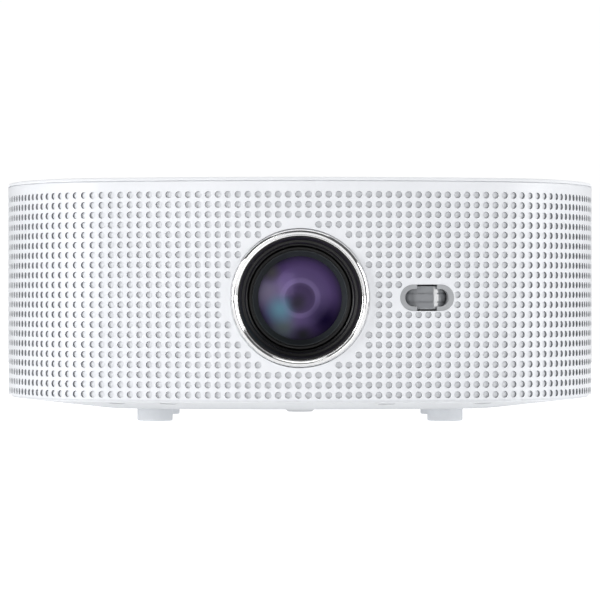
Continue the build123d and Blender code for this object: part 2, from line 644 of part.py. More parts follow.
with BuildPart() as light_engine_housing:
    with BuildSketch(Plane.XY.offset(ENGINE_BOTTOM)):
        with Locations((0, ENGINE_FRONT_Y)):
            Rectangle(ENGINE_WIDTH, ENGINE_BACK_Y - ENGINE_FRONT_Y, align=(Align.CENTER, Align.MIN))
    extrude(amount=LID_Z - ENGINE_BOTTOM)
    with BuildSketch(Plane.XY.offset(FLOOR_Z)):
        with Locations((0, ENGINE_FRONT_Y + PLATE)):
            room = ENGINE_BACK_Y - ENGINE_FRONT_Y - 2 * PLATE
            Rectangle(2 * INNER_HALF, room, align=(Align.CENTER, Align.MIN))
    extrude(amount=LID_Z - FLOOR_Z, mode=Mode.SUBTRACT)
    with BuildSketch(Plane.XZ.offset(-ENGINE_FRONT_Y)):
        with Locations((0, LENS_Z)):
            Circle(APERTURE_R)
    extrude(amount=-PLATE, mode=Mode.SUBTRACT)
    with BuildSketch(Plane.XZ.offset(-ENGINE_BACK_Y)):
        with Locations((0, LENS_Z)):
            Circle(CONDENSER_R + GAP)
    extrude(amount=PLATE, mode=Mode.SUBTRACT)
    with BuildSketch(Plane.YZ.offset(-ENGINE_WIDTH / 2)):
        with Locations((-7, LENS_Z), (5, LENS_Z)):
            SlotOverall(36, 5, rotation=90)
    extrude(amount=ENGINE_WIDTH, mode=Mode.SUBTRACT)
    with BuildSketch(Plane.XY.offset(ENGINE_BOTTOM)):
        with Locations(*engine_posts):
            Rectangle(9.2, 9)
        with Locations((0, ENGINE_FRONT_Y)):
            Rectangle(
                ENGINE_WIDTH - 1, ENGINE_BACK_Y - ENGINE_FRONT_Y,
                align=(Align.CENTER, Align.MIN), mode=Mode.SUBTRACT,
            )
        with Locations(*engine_posts):
            Circle(SCREW_SHANK_R + SCREW_CLEAR, mode=Mode.SUBTRACT)
    extrude(amount=EAR_THICKNESS)
save(light_engine_housing, "light_engine_housing")

RIBBON_HALF = 10.0
RIBBON = 0.3
with BuildPart() as light_engine_lid:
    with BuildSketch(Plane.XY.offset(LID_Z)):
        with Locations((0, ENGINE_FRONT_Y)):
            Rectangle(ENGINE_WIDTH, ENGINE_BACK_Y - ENGINE_FRONT_Y, align=(Align.CENTER, Align.MIN))
        with Locations((0, -0.8)):
            Rectangle(2 * RIBBON_HALF + 2, 3, mode=Mode.SUBTRACT)
    extrude(amount=ENGINE_WALL)
save(light_engine_lid, "light_engine_lid")

inner_spots = [*engine_posts, bracket_post]
ENGINE_SCREW_HEAD = 2.0
ENGINE_SCREW_HEAD_R = 2.7
ENGINE_SCREW_END = 8.5
head_z = ENGINE_BOTTOM + EAR_THICKNESS + ENGINE_SCREW_HEAD
engine_screws = screws(inner_spots, head_z, ENGINE_SCREW_HEAD, ENGINE_SCREW_END, ENGINE_SCREW_HEAD_R, SCREW_SHANK_R)
save(engine_screws, "engine_screws")


def optical_plate(front_y, thickness, width=2 * INNER_HALF, height=LID_Z - FLOOR_Z):
    """A flat plate across the light path, standing on the housing's floor."""
    with BuildPart() as plate:
        with BuildSketch(Plane.XZ.offset(-front_y)):
            with Locations((0, LENS_Z)):
                Rectangle(width, height)
        extrude(amount=-thickness)
    return plate


front_fresnel = optical_plate(-13.0, 2.0)
save(front_fresnel, "front_fresnel")
rear_fresnel = optical_plate(9.0, 2.0)
save(rear_fresnel, "rear_fresnel")
heat_glass = optical_plate(13.5, 1.1)
save(heat_glass, "heat_glass")

LCD_WIDTH, LCD_HEIGHT = 74.0, 46.0
LCD_FRONT_Y, LCD_BACK_Y = -1.9, 0.4
with BuildPart() as lcd_frame:
    with BuildSketch(Plane.XZ.offset(2)):
        with Locations((0, LENS_Z)):
            Rectangle(2 * INNER_HALF, LID_Z - FLOOR_Z)
            Rectangle(LCD_WIDTH - 6, LCD_HEIGHT - 6, mode=Mode.SUBTRACT)
    extrude(amount=-4)
    with BuildSketch(Plane.XZ.offset(2)):
        with Locations((0, LENS_Z)):
            Rectangle(LCD_WIDTH + 2 * GAP, LCD_HEIGHT + 2 * GAP)
        with Locations((0, LID_Z)):
            Rectangle(2 * RIBBON_HALF + 2, 10)
    extrude(amount=-2 - LCD_BACK_Y, mode=Mode.SUBTRACT)
save(lcd_frame, "lcd_frame")

lcd_panel = optical_plate(LCD_FRONT_Y, LCD_BACK_Y - LCD_FRONT_Y, LCD_WIDTH, LCD_HEIGHT)
save(lcd_panel, "lcd_panel")

CONE_FRONT_Y, CONE_BACK_Y = 16.0, 37.9
CONE_WALL = 1.2


with BuildPart() as reflector_cone:
    for wall, mode in ((CONE_WALL, Mode.ADD), (0, Mode.SUBTRACT)):
        for y, width, height in ((CONE_FRONT_Y, 74, 48), (CONE_BACK_Y, 30, 30)):
            with BuildSketch(Plane.XZ.offset(-y)):
                with Locations((0, LENS_Z)):
                    Rectangle(width + 2 * wall, height + 2 * wall)
        loft(mode=mode)
save(reflector_cone, "reflector_cone")

with BuildPart() as condenser_lens:
    with BuildSketch(Plane.XY.offset(LENS_Z)):
        with BuildLine():
            Line((0, 34.0), (0, 40.2))
            Line((0, 40.2), (CONDENSER_R, 40.2))
            Line((CONDENSER_R, 40.2), (CONDENSER_R, 38.4))
            sag_arc(38.4, 34.0, CONDENSER_R)
        make_face()
    revolve(axis=Axis((0, 0, LENS_Z), (0, 1, 0)))
save(condenser_lens, "condenser_lens")

LED_BOARD = 1.6
with BuildPart() as led_board:
    with BuildSketch(Plane.XZ.offset(-ENGINE_BACK_Y)):
        with Locations((0, LENS_Z)):
            Rectangle(40, 40)
            with GridLocations(33, 33, 2, 2):
                Circle(1.6, mode=Mode.SUBTRACT)
    extrude(amount=-LED_BOARD)
save(led_board, "led_board")

with BuildPart() as led_emitter:
    with BuildSketch(Plane.XZ.offset(-ENGINE_BACK_Y)):
        with Locations((0, LENS_Z)):
            Circle(9)
    extrude(amount=0.5)
save(led_emitter, "led_emitter")

SINK_BASE = 4.0
SINK_WIDTH = 64.0
FIN_DEPTH = 10.0
FIN_COUNT = 12
FIN_PITCH = 4.2
sink_y = ENGINE_BACK_Y + LED_BOARD
with BuildPart() as heat_sink:
    with BuildSketch(Plane.XZ.offset(-sink_y)):
        with Locations((0, LENS_Z)):
            Rectangle(SINK_WIDTH, 50)
    extrude(amount=-SINK_BASE)
    with BuildSketch(Plane.XZ.offset(-sink_y - SINK_BASE)):
        with Locations((0, LENS_Z)):
            with GridLocations(0, FIN_PITCH, 1, FIN_COUNT):
                Rectangle(SINK_WIDTH, 1.2)
    extrude(amount=-FIN_DEPTH)
save(heat_sink, "heat_sink")

# ---------------------------------------------------------------- main board and ports
BOARD_WIDTH = 88.0
BOARD_BOTTOM, BOARD_TOP = 14.0, 64.0
board_front_y = BOARD_REAR_Y - BOARD_THICKNESS
with BuildPart() as main_board:
    with BuildSketch(Plane.XZ.offset(-BOARD_REAR_Y)):
        with Locations((0, BOARD_BOTTOM)):
            Rectangle(BOARD_WIDTH, BOARD_TOP - BOARD_BOTTOM, align=(Align.CENTER, Align.MIN))
    extrude(amount=BOARD_THICKNESS)
save(main_board, "main_board")

with BuildPart() as board_chips:
    with BuildSketch(Plane.XZ.offset(-BOARD_REAR_Y)):
        with Locations((-18, 50)):
            Rectangle(15, 15)
        with Locations((10, 50), (24, 50)):
            Rectangle(8, 11)
        with Locations((-36, 50)):
            Rectangle(7, 5)
    extrude(amount=-1.4)
    with BuildSketch(Plane.XZ.offset(-board_front_y)):
        with Locations((0, 58)):
            Rectangle(2 * RIBBON_HALF + 3, 4)
    extrude(amount=1.6)
    with BuildSketch(Plane.XZ.offset(-BOARD_REAR_Y)):
        with Locations((IR_X, PORT_Z)):
            Rectangle(4, 5)
    extrude(amount=-5)
save(board_chips, "board_chips")

lcd_ribbon_top = ENGINE_TOP + 1.5
ribbon_y = LCD_FRONT_Y + 1.0
with BuildPart() as lcd_ribbon:
    with BuildSketch(Plane.YZ.offset(-RIBBON_HALF)):
        with BuildLine():
            Polyline(
                (ribbon_y, LENS_Z + LCD_HEIGHT / 2),
                (ribbon_y, lcd_ribbon_top),
                (board_front_y - RIBBON, lcd_ribbon_top),
                (board_front_y - RIBBON, 60),
                (board_front_y, 60),
                (board_front_y, lcd_ribbon_top + RIBBON),
                (ribbon_y - RIBBON, lcd_ribbon_top + RIBBON),
                (ribbon_y - RIBBON, LENS_Z + LCD_HEIGHT / 2),
                close=True,
            )
        make_face()
    extrude(amount=2 * RIBBON_HALF)
save(lcd_ribbon, "lcd_ribbon")

port_end_y = PANEL_FACE_Y - PORT_LIP
port_depth = port_end_y - BOARD_REAR_Y
PORT_FLOOR = 2.0
TONGUE_SETBACK = 1.2


def socket(x, size, shell):
    """The metal shell of a port, open to the rear."""
    with BuildPart() as piece:
        with BuildSketch(Plane.XZ.offset(-BOARD_REAR_Y)):
            with Locations((x, PORT_Z)):
                Rectangle(*size)
        extrude(amount=-port_depth)
        with BuildSketch(Plane.XZ.offset(-port_end_y)):
            with Locations((x, PORT_Z)):
                RectangleRounded(size[0] - 2 * shell, size[1] - 2 * shell, 0.4)
        extrude(amount=port_depth - PORT_FLOOR, mode=Mode.SUBTRACT)
    return piece


hdmi_port = socket(HDMI_X, HDMI_SIZE, 0.6)
save(hdmi_port, "hdmi_port")
usb_port = socket(USB_X, USB_SIZE, 0.8)
save(usb_port, "usb_port")

with BuildPart() as port_tongues:
    with BuildSketch(Plane.XZ.offset(-BOARD_REAR_Y - PORT_FLOOR)):
        with Locations((HDMI_X, PORT_Z)):
            Rectangle(11.0, 1.3)
        with Locations((USB_X, PORT_Z + 1.1)):
            Rectangle(11.1, 1.8)
    extrude(amount=-(port_depth - PORT_FLOOR - TONGUE_SETBACK))
save(port_tongues, "port_tongues")

AV_BORE_R = 1.78
AV_BORE_LENGTH = 12.0
with BuildPart() as av_jack:
    with BuildSketch(Plane.XZ.offset(-BOARD_REAR_Y)):
        with Locations((AV_X, PORT_Z)):
            Rectangle(*AV_SIZE)
    extrude(amount=-(PANEL_FACE_Y - PANEL_THICKNESS - GAP - BOARD_REAR_Y))
    with BuildSketch(Plane.XZ.offset(-BOARD_REAR_Y)):
        with Locations((AV_X, PORT_Z)):
            Circle(AV_NECK_R)
    extrude(amount=-port_depth)
    with BuildSketch(Plane.XZ.offset(-port_end_y)):
        with Locations((AV_X, PORT_Z)):
            Circle(AV_BORE_R)
    extrude(amount=AV_BORE_LENGTH, mode=Mode.SUBTRACT)
save(av_jack, "av_jack")

DC_BORE_R = 2.85
DC_PIN_R = 1.0
DC_BORE_LENGTH = 9.5
DC_PIN_LENGTH = 8.7
with BuildPart() as dc_jack:
    with BuildSketch(Plane.XZ.offset(-BOARD_REAR_Y)):
        with Locations((DC_X, PORT_Z)):
            Rectangle(*DC_SIZE)
    extrude(amount=-port_depth)
    with BuildSketch(Plane.XZ.offset(-port_end_y)):
        with Locations((DC_X, PORT_Z)):
            Circle(DC_BORE_R)
    extrude(amount=DC_BORE_LENGTH, mode=Mode.SUBTRACT)
    with BuildSketch(Plane.XZ.offset(-port_end_y + DC_BORE_LENGTH)):
        with Locations((DC_X, PORT_Z)):
            Circle(DC_PIN_R)
    extrude(amount=-DC_PIN_LENGTH)
save(dc_jack, "dc_jack")

with BuildPart() as rear_panel:
    with BuildSketch(Plane.XZ.offset(-PANEL_FACE_Y)):
        with Locations((0, PORT_Z)):
            Rectangle(PANEL_WIDTH, PANEL_HEIGHT)
        for x, (width, height) in ((HDMI_X, HDMI_SIZE), (USB_X, USB_SIZE), (DC_X, DC_SIZE), (IR_X, IR_SIZE)):
            with Locations((x, PORT_Z)):
                Rectangle(width + 2 * GAP, height + 2 * GAP, mode=Mode.SUBTRACT)
        with Locations((AV_X, PORT_Z)):
            Circle(AV_NECK_R + GAP, mode=Mode.SUBTRACT)
    extrude(amount=PANEL_THICKNESS)
save(rear_panel, "rear_panel")

with BuildPart() as ir_window:
    with BuildSketch(Plane.XZ.offset(-PANEL_FACE_Y + PORT_LIP)):
        with Locations((IR_X, PORT_Z)):
            Rectangle(*IR_SIZE)
    extrude(amount=PANEL_THICKNESS)
save(ir_window, "ir_window")

# ---------------------------------------------------------------- power button
BUTTON_PROUD = 0.5
BUTTON_FLANGE_R = 9.0
BUTTON_FLANGE_BOTTOM = 77.1
BUTTON_TRAVEL = 0.8
with BuildPart() as power_button:
    with BuildSketch(Plane.XY.offset(BUTTON_FLANGE_BOTTOM)):
        with Locations((0, BUTTON_Y)):
            Circle(BUTTON_FLANGE_R)
    extrude(amount=1.2)
    with BuildSketch(Plane.XY.offset(BUTTON_FLANGE_BOTTOM)):
        with Locations((0, BUTTON_Y)):
            Circle(BUTTON_R)
    extrude(amount=BODY_TOP + BUTTON_PROUD - BUTTON_FLANGE_BOTTOM)
    fillet(power_button.edges().group_by(Axis.Z)[-1], 0.4)
save(power_button, "power_button")

with BuildPart() as button_board:
    with BuildSketch(Plane.XY.offset(BUTTON_BOARD_TOP)):
        with Locations((0, BUTTON_Y)):
            Rectangle(*BUTTON_BOARD_SIZE)
    extrude(amount=-1.2)
save(button_board, "button_board")

with BuildPart() as power_switch:
    with BuildSketch(Plane.XY.offset(BUTTON_BOARD_TOP)):
        with Locations((0, BUTTON_Y)):
            Rectangle(6, 6)
    extrude(amount=1.7)
    with BuildSketch(Plane.XY.offset(BUTTON_BOARD_TOP)):
        with Locations((0, BUTTON_Y)):
            Circle(1.7)
    extrude(amount=BUTTON_FLANGE_BOTTOM - BUTTON_TRAVEL - 0.15 - BUTTON_BOARD_TOP)
save(power_switch, "power_switch")

# ---------------------------------------------------------------- cooling fans
FAN_SIZE = 56.0
FAN_DEPTH = 14.0
FAN_Z = FAN_BOTTOM + FAN_SIZE / 2
FAN_BORE_R = 26.0
HUB_R = 11.0
BLADE_R = 25.3
BLADES = 9
STATOR_R = 8.5
SPINDLE_R = 1.0
STRUT_DEPTH = 2.5

for side, name in ((-1, "intake_fan"), (1, "exhaust_fan")):
    fan_plane = Plane(origin=(side * FAN_FACE_X, FAN_Y, FAN_Z), x_dir=(0, 1, 0), z_dir=(side, 0, 0))
    with BuildPart(fan_plane) as fan_frame:
        with BuildSketch(fan_plane):
            RectangleRounded(FAN_SIZE, FAN_SIZE, 3)
            Circle(FAN_BORE_R, mode=Mode.SUBTRACT)
            with GridLocations(48, 48, 2, 2):
                Circle(2.1, mode=Mode.SUBTRACT)
        extrude(amount=FAN_DEPTH)
        with BuildSketch(fan_plane):
            Circle(HUB_R)
            with PolarLocations(FAN_BORE_R / 2, 3):
                Rectangle(FAN_BORE_R + 1, 3)
        extrude(amount=STRUT_DEPTH)
        with BuildSketch(fan_plane.offset(STRUT_DEPTH)):
            Circle(STATOR_R)
        extrude(amount=5)
        with BuildSketch(fan_plane.offset(STRUT_DEPTH)):
            Circle(SPINDLE_R)
        extrude(amount=FAN_DEPTH - STRUT_DEPTH - 2)
    save(fan_frame, f"{name}_frame")

    hub_plane = fan_plane.offset(STRUT_DEPTH + 0.5)
    with BuildPart() as fan_rotor:
        with BuildSketch(hub_plane):
            Circle(HUB_R)
        extrude(amount=FAN_DEPTH - STRUT_DEPTH - 1.0)
        with BuildSketch(hub_plane):
            Circle(STATOR_R + 0.5)
        extrude(amount=6, mode=Mode.SUBTRACT)
        with BuildSketch(hub_plane):
            Circle(SPINDLE_R + 0.06)
        extrude(amount=FAN_DEPTH - STRUT_DEPTH - 2.0, mode=Mode.SUBTRACT)
        for blade in range(BLADES):
            turn = Location(hub_plane) * Rot(Z=blade * 360 / BLADES)
            blade_plane = Plane(turn * Pos(HUB_R - 0.4, 0, 5.0) * Rot(X=38))
            edge_on = Plane(blade_plane.origin, x_dir=blade_plane.z_dir, z_dir=blade_plane.x_dir)
            with BuildSketch(edge_on):
                Rectangle(1.1, 11.5)
            extrude(amount=BLADE_R - HUB_R - 0.2)
    save(fan_rotor, f"{name}_rotor")

with BuildPart() as dust_filter:
    with BuildSketch(Plane.YZ.offset(-FAN_FACE_X - FAN_DEPTH)):
        with Locations((FAN_Y, FAN_Z)):
            RectangleRounded(50, 50, 4)
    extrude(amount=-1.0)
save(dust_filter, "dust_filter")

# ---------------------------------------------------------------- speakers
SPEAKER_SIZE = 34.0
SPEAKER_Z = SPEAKER_BOTTOM + SPEAKER_SIZE / 2
SPEAKER_FRAME = 3.0
for side, name in ((-1, "speaker_left"), (1, "speaker_right")):
    outward = Vector(side, 1, 0).normalized()
    face = Vector(side * SPEAKER_SPOT[0], SPEAKER_SPOT[1], SPEAKER_Z) + outward * 7
    speaker_plane = Plane(origin=face, x_dir=(-outward.Y, outward.X, 0), z_dir=outward)
    with BuildPart() as speaker:
        with BuildSketch(speaker_plane):
            RectangleRounded(SPEAKER_SIZE, SPEAKER_SIZE, 3)
            Circle(15, mode=Mode.SUBTRACT)
        extrude(amount=-SPEAKER_FRAME)
        with BuildSketch(speaker_plane.offset(-SPEAKER_FRAME)):
            Circle(16)
        with BuildSketch(speaker_plane.offset(-SPEAKER_FRAME - 7)):
            Circle(11)
        loft()
        with BuildSketch(speaker_plane.offset(-SPEAKER_FRAME)):
            Circle(14.5)
        with BuildSketch(speaker_plane.offset(-SPEAKER_FRAME - 5.5)):
            Circle(9.5)
        loft(mode=Mode.SUBTRACT)
        with BuildSketch(speaker_plane.offset(-SPEAKER_FRAME - 7)):
            Circle(10)
        extrude(amount=-5)
    save(speaker, f"{name}_driver")

    with BuildPart() as cone:
        with BuildSketch(speaker_plane.offset(-0.6)):
            Circle(14.8)
            Circle(13.0, mode=Mode.SUBTRACT)
        extrude(amount=-1.0)
        with BuildSketch(speaker_plane.offset(-1.2)):
            Circle(13.2)
        with BuildSketch(speaker_plane.offset(-6.0)):
            Circle(6)
        loft()
        with BuildSketch(speaker_plane.offset(-0.6)):
            Circle(13.1)
        with BuildSketch(speaker_plane.offset(-5.2)):
            Circle(5.6)
        loft(mode=Mode.SUBTRACT)
    save(cone, f"{name}_cone")

# ---------------------------------------------------------------- LED driver board
with BuildPart() as driver_board:
    with BuildSketch(Plane.XY.offset(DRIVER_BOARD_Z)):
        with Locations((-60, -46)):
            Rectangle(32, 14)
    extrude(amount=1.6)
save(driver_board, "driver_board")

with BuildPart() as driver_components:
    with BuildSketch(Plane.XY.offset(DRIVER_BOARD_Z + 1.6)):
        with Locations((-70, -46), (-60, -46)):
            Circle(4)
    extrude(amount=12)
    fillet(driver_components.edges().group_by(Axis.Z)[-1], 0.5)
    with BuildSketch(Plane.XY.offset(DRIVER_BOARD_Z + 1.6)):
        with Locations((-50, -46)):
            Circle(5.5)
            Circle(2.5, mode=Mode.SUBTRACT)
    extrude(amount=5)
save(driver_components, "driver_components")
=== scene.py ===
import math

import bmesh
import bpy
import numpy as np
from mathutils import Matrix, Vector, geometry


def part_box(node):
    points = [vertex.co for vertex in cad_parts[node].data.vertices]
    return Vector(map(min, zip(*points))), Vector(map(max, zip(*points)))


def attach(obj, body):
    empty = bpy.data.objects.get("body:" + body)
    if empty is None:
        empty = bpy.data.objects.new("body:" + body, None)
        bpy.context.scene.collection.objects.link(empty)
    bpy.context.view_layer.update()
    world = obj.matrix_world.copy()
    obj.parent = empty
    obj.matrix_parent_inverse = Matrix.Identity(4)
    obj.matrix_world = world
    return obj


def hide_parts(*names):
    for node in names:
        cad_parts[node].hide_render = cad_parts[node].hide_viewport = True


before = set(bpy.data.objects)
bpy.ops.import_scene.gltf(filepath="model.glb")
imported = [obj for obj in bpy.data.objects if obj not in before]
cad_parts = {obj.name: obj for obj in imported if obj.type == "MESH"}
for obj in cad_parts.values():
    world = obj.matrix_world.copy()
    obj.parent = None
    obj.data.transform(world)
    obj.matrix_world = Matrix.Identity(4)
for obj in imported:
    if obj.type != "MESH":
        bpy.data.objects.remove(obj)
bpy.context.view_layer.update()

# Home projector: the looks. Metres, +Z up, the lens faces -Y, X runs to the viewer's right.
MM = 0.001

# ---------------------------------------------------------------- the body's outline
# A quarter of the oval seen from above: a flat front arc, a corner arc and a side arc.
FRONT_R = 215 * MM
CORNER_R = 42 * MM
SIDE_R = 95 * MM
FRONT_CENTRE = (0.0, 138 * MM)
CORNER_CENTRE = (51.517 * MM, -27.151 * MM)
SIDE_CENTRE = (6 * MM, 0.0)
FRONT_END = math.radians(90 - 72.675)   # the normal's angle from straight ahead at the corner's
CORNER_END = math.radians(90 - 30.817)  # start, and at the side arc's start
FRONT_LEN = FRONT_R * FRONT_END
CORNER_LEN = CORNER_R * (CORNER_END - FRONT_END)
QUARTER = FRONT_LEN + CORNER_LEN + SIDE_R * (math.pi / 2 - CORNER_END)
WALL = 2.2 * MM
EDGE_ROUND = 0.15 * MM    # the wall's top and bottom edges

# ---------------------------------------------------------------- its grid of dimples
COLUMNS = 180             # round the whole body
ROWS = 21
PITCH = 4 * QUARTER / COLUMNS
ROW_PITCH = 3.246 * MM
FIRST_ROW_BOTTOM = 8.477 * MM
GRID_SHIFT = -0.5 * MM    # of the whole grid, along the outline
RIM_R = 1.15 * MM
RIM_ROUND = 0.07 * MM     # rounded lip of each dimple
DIMPLE_DEPTH = 0.68 * MM
DIMPLE_TAPER = 0.05 * MM
VENT_COLUMNS = (33, 57)   # here, counted from the front both ways, the dimples go right through,
VENT_ROWS = (2, 16)       # in front of each fan

# One cell's outline, as sixteen grid points that match the sixteen points of a dimple's rim.
STEPS = 4                 # mesh steps along each side of a cell
CELL_RING = [(4, 2), (4, 3), (4, 4), (3, 4), (2, 4), (1, 4), (0, 4), (0, 3),
             (0, 2), (0, 1), (0, 0), (1, 0), (2, 0), (3, 0), (4, 0), (4, 1)]
RING_STEPS = len(CELL_RING)

# Kinds of point. An edge between two rim points, or two floor points, is a sharp one.
OUTER_FACE, RIM, WALL_SIDE, FLOOR = range(4)

# ---------------------------------------------------------------- openings in the shell
LENS_LO, LENS_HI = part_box("lens_trim_ring")
LENS_X = (LENS_LO.x + LENS_HI.x) / 2
LENS_Z = (LENS_LO.z + LENS_HI.z) / 2
LENS_HOLE_R = 22.6 * MM
LENS_HOLE_STEPS = 120
LENS_CLEAR_R = 24.45 * MM  # no dimple sits nearer to the lens axis than this

WINDOW_LO, WINDOW_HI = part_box("focus_bezel")
WINDOW_Z = (WINDOW_LO.z + WINDOW_HI.z) / 2
WINDOW_S = 41.54 * MM
WINDOW_HALF = 4.7 * MM      # half the length of its straight sides
WINDOW_R = 4.3 * MM
WINDOW_END_STEPS = 24
WINDOW_MARGIN_R = 4.7 * MM  # dimples are cut straight here
WINDOW_CLEAR_R = 5.35 * MM  # and left out here

REAR_LO, REAR_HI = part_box("rear_panel")
REAR_GAP = 0.1 * MM
REAR_STEPS_ACROSS = 40
REAR_STEPS_UP = 12

CUT_REACH = PITCH * 0.2     # an outline this near to a cell's edge cuts the cell too
MERGE_DISTANCE = 1e-7


def outline_normal(s):
    """The outward normal's angle from straight ahead, at arc length s from the front's middle.

    The second value is True on the rear half, where the outline mirrors the front.
    """
    a = abs(s)
    far = a > QUARTER
    if far:
        a = 2 * QUARTER - a
    if a <= FRONT_LEN:
        return a / FRONT_R, far
    if a <= FRONT_LEN + CORNER_LEN:
        return FRONT_END + (a - FRONT_LEN) / CORNER_R, far
    return CORNER_END + (a - FRONT_LEN - CORNER_LEN) / SIDE_R, far


def wrapped(s):
    """The same place on the outline, within half its length of the front's middle."""
    return (s + 2 * QUARTER) % (4 * QUARTER) - 2 * QUARTER


def surface(s, z, depth=0.0):
    """The point at arc length s and height z, depth below the body's surface, and the normal."""
    s = wrapped(s)
    angle, far = outline_normal(s)
    if angle <= FRONT_END:
        centre, radius = FRONT_CENTRE, FRONT_R
    elif angle <= CORNER_END:
        centre, radius = CORNER_CENTRE, CORNER_R
    else:
        centre, radius = SIDE_CENTRE, SIDE_R
    nx, ny = math.sin(angle), -math.cos(angle)
    x = centre[0] + (radius - depth) * nx
    y = centre[1] + (radius - depth) * ny
    side = 1 if s >= 0 else -1
    end = -1 if far else 1
    return (side * x, end * y, z), (side * nx, end * ny, 0.0)


def window_distance(s, z):
    """Distance from the focus window's middle line."""
    over = max(abs(s - WINDOW_S) - WINDOW_HALF, 0.0)
    return math.hypot(over, z - WINDOW_Z)


def lens_distance(s, z):
    return math.hypot(FRONT_R * math.sin(s / FRONT_R) - LENS_X, z - LENS_Z)


# The three outlines, in (s, z): a round hole, a pill and a rectangle.
def lens_outline():
    points = []
    for i in range(LENS_HOLE_STEPS):
        a = math.tau * i / LENS_HOLE_STEPS
        x = LENS_X + LENS_HOLE_R * math.cos(a)
        points.append((FRONT_R * math.asin(x / FRONT_R), LENS_Z + LENS_HOLE_R * math.sin(a)))
    return points


def window_outline():
    points = []
    for end, start in ((1, -90), (-1, 90)):
        for i in range(WINDOW_END_STEPS + 1):
            a = math.radians(start + 180 * i / WINDOW_END_STEPS)
            points.append((WINDOW_S + end * WINDOW_HALF + WINDOW_R * math.cos(a),
                           WINDOW_Z + WINDOW_R * math.sin(a)))
    return points


def rear_outline():
    middle = 2 * QUARTER
    half = FRONT_R * math.asin((REAR_HI.x + REAR_GAP) / FRONT_R)
    low, high = REAR_LO.z - REAR_GAP, REAR_HI.z + REAR_GAP
    across = [2 * half * i / REAR_STEPS_ACROSS for i in range(REAR_STEPS_ACROSS)]
    up = [(high - low) * i / REAR_STEPS_UP for i in range(REAR_STEPS_UP)]
    bottom = [(middle - half + step, low) for step in across]
    right = [(middle + half, low + step) for step in up]
    top = [(middle + half - step, high) for step in across]
    left = [(middle - half, high - step) for step in up]
    return bottom + right + top + left


def inside(loop, s, z):
    """True where (s, z) lies inside the closed loop of points."""
    found = False
    for (s0, z0), (s1, z1) in zip(loop, loop[1:] + loop[:1]):
        if (z0 > z) != (z1 > z) and s < s0 + (z - z0) * (s1 - s0) / (z1 - z0):
            found = not found
    return found


def near(loop, s, z, reach):
    return any(math.hypot(s - a, z - b) < reach for a, b in loop)


# ---------------------------------------------------------------- the dimpled wall
class Skin:
    """One stretch of the shell's wall: points shared by key, and faces."""

    def __init__(self):
        self.points, self.arc, self.kind, self.keys = [], [], [], {}
        self.faces, self.outer, self.shaded = [], [], []

    def point(self, key, s, z, depth=0.0, kind=OUTER_FACE):
        if key not in self.keys:
            self.keys[key] = len(self.points)
            self.points.append(surface(s, z, depth)[0])
            self.arc.append(s)
            self.kind.append(kind)
        return self.keys[key]

    def face(self, corners, outer=False, shaded=False):
        """A face; outer ones shade with the body's own normal, shaded ones are a dimple's side,
        which takes the dark grey material of painted shade.
        """
        self.faces.append(corners)
        self.outer.append(outer)
        self.shaded.append(shaded)

    def strip(self, ring_a, ring_b, outer=False, closed=True, shaded=False):
        """Quads between two rows of points, ring_b further in."""
        last = len(ring_a) if closed else len(ring_a) - 1
        for i in range(last):
            j = (i + 1) % len(ring_a)
            self.face((ring_a[i], ring_a[j], ring_b[j], ring_b[i]), outer, shaded)


def grid_place(i, j):
    """Arc length and height of a grid point."""
    s = (i - STEPS / 2) * PITCH / STEPS + GRID_SHIFT
    return s, FIRST_ROW_BOTTOM + j * ROW_PITCH / STEPS


def grid_point(skin, i, j, inner=False):
    s, z = grid_place(i, j)
    return skin.point(("grid", i, j, inner), s, z, WALL if inner else 0.0)


def cell_spots(c, k):
    return [(STEPS * c + di, STEPS * k + dj) for di, dj in CELL_RING]


def cell_ring(skin, c, k, inner=False):
    return [grid_point(skin, i, j, inner) for i, j in cell_spots(c, k)]


def cell_centre(c, k):
    return c * PITCH + GRID_SHIFT, FIRST_ROW_BOTTOM + (k + 0.5) * ROW_PITCH


def cell_at(s, z):
    return (math.floor((s - GRID_SHIFT) / PITCH + 0.5),
            math.floor((z - FIRST_ROW_BOTTOM) / ROW_PITCH))


def has_dimple(c, k):
    s, z = cell_centre(c, k)
    if lens_distance(s, z) < LENS_CLEAR_R and abs(s) < FRONT_LEN:
        return False
    return not (abs(s) < FRONT_LEN and window_distance(s, z) < WINDOW_CLEAR_R)


def is_vent(c, k):
    from_front = abs((c + COLUMNS // 2) % COLUMNS - COLUMNS // 2)
    return (VENT_COLUMNS[0] <= from_front <= VENT_COLUMNS[1]
            and VENT_ROWS[0] <= k <= VENT_ROWS[1])


def rim_circle(c, k, radius):
    """A dimple's circle in (s, z), cut straight where it would run into the window's margin."""
    s0, z0 = cell_centre(c, k)
    loop = []
    for n in range(RING_STEPS):
        a = math.tau * n / RING_STEPS
        s, z = s0 + radius * math.cos(a), z0 + radius * math.sin(a)
        gap = window_distance(s, z)
        if gap < WINDOW_MARGIN_R and abs(s) < FRONT_LEN:
            foot = min(max(s, WINDOW_S - WINDOW_HALF), WINDOW_S + WINDOW_HALF)
            s = foot + (s - foot) * WINDOW_MARGIN_R / gap
            z = WINDOW_Z + (z - WINDOW_Z) * WINDOW_MARGIN_R / gap
        loop.append((s, z))
    return loop


def rim_points(skin, c, k, name, radius, depth, kind):
    return [skin.point((name, c, k, n), s, z, depth, kind)
            for n, (s, z) in enumerate(rim_circle(c, k, radius))]


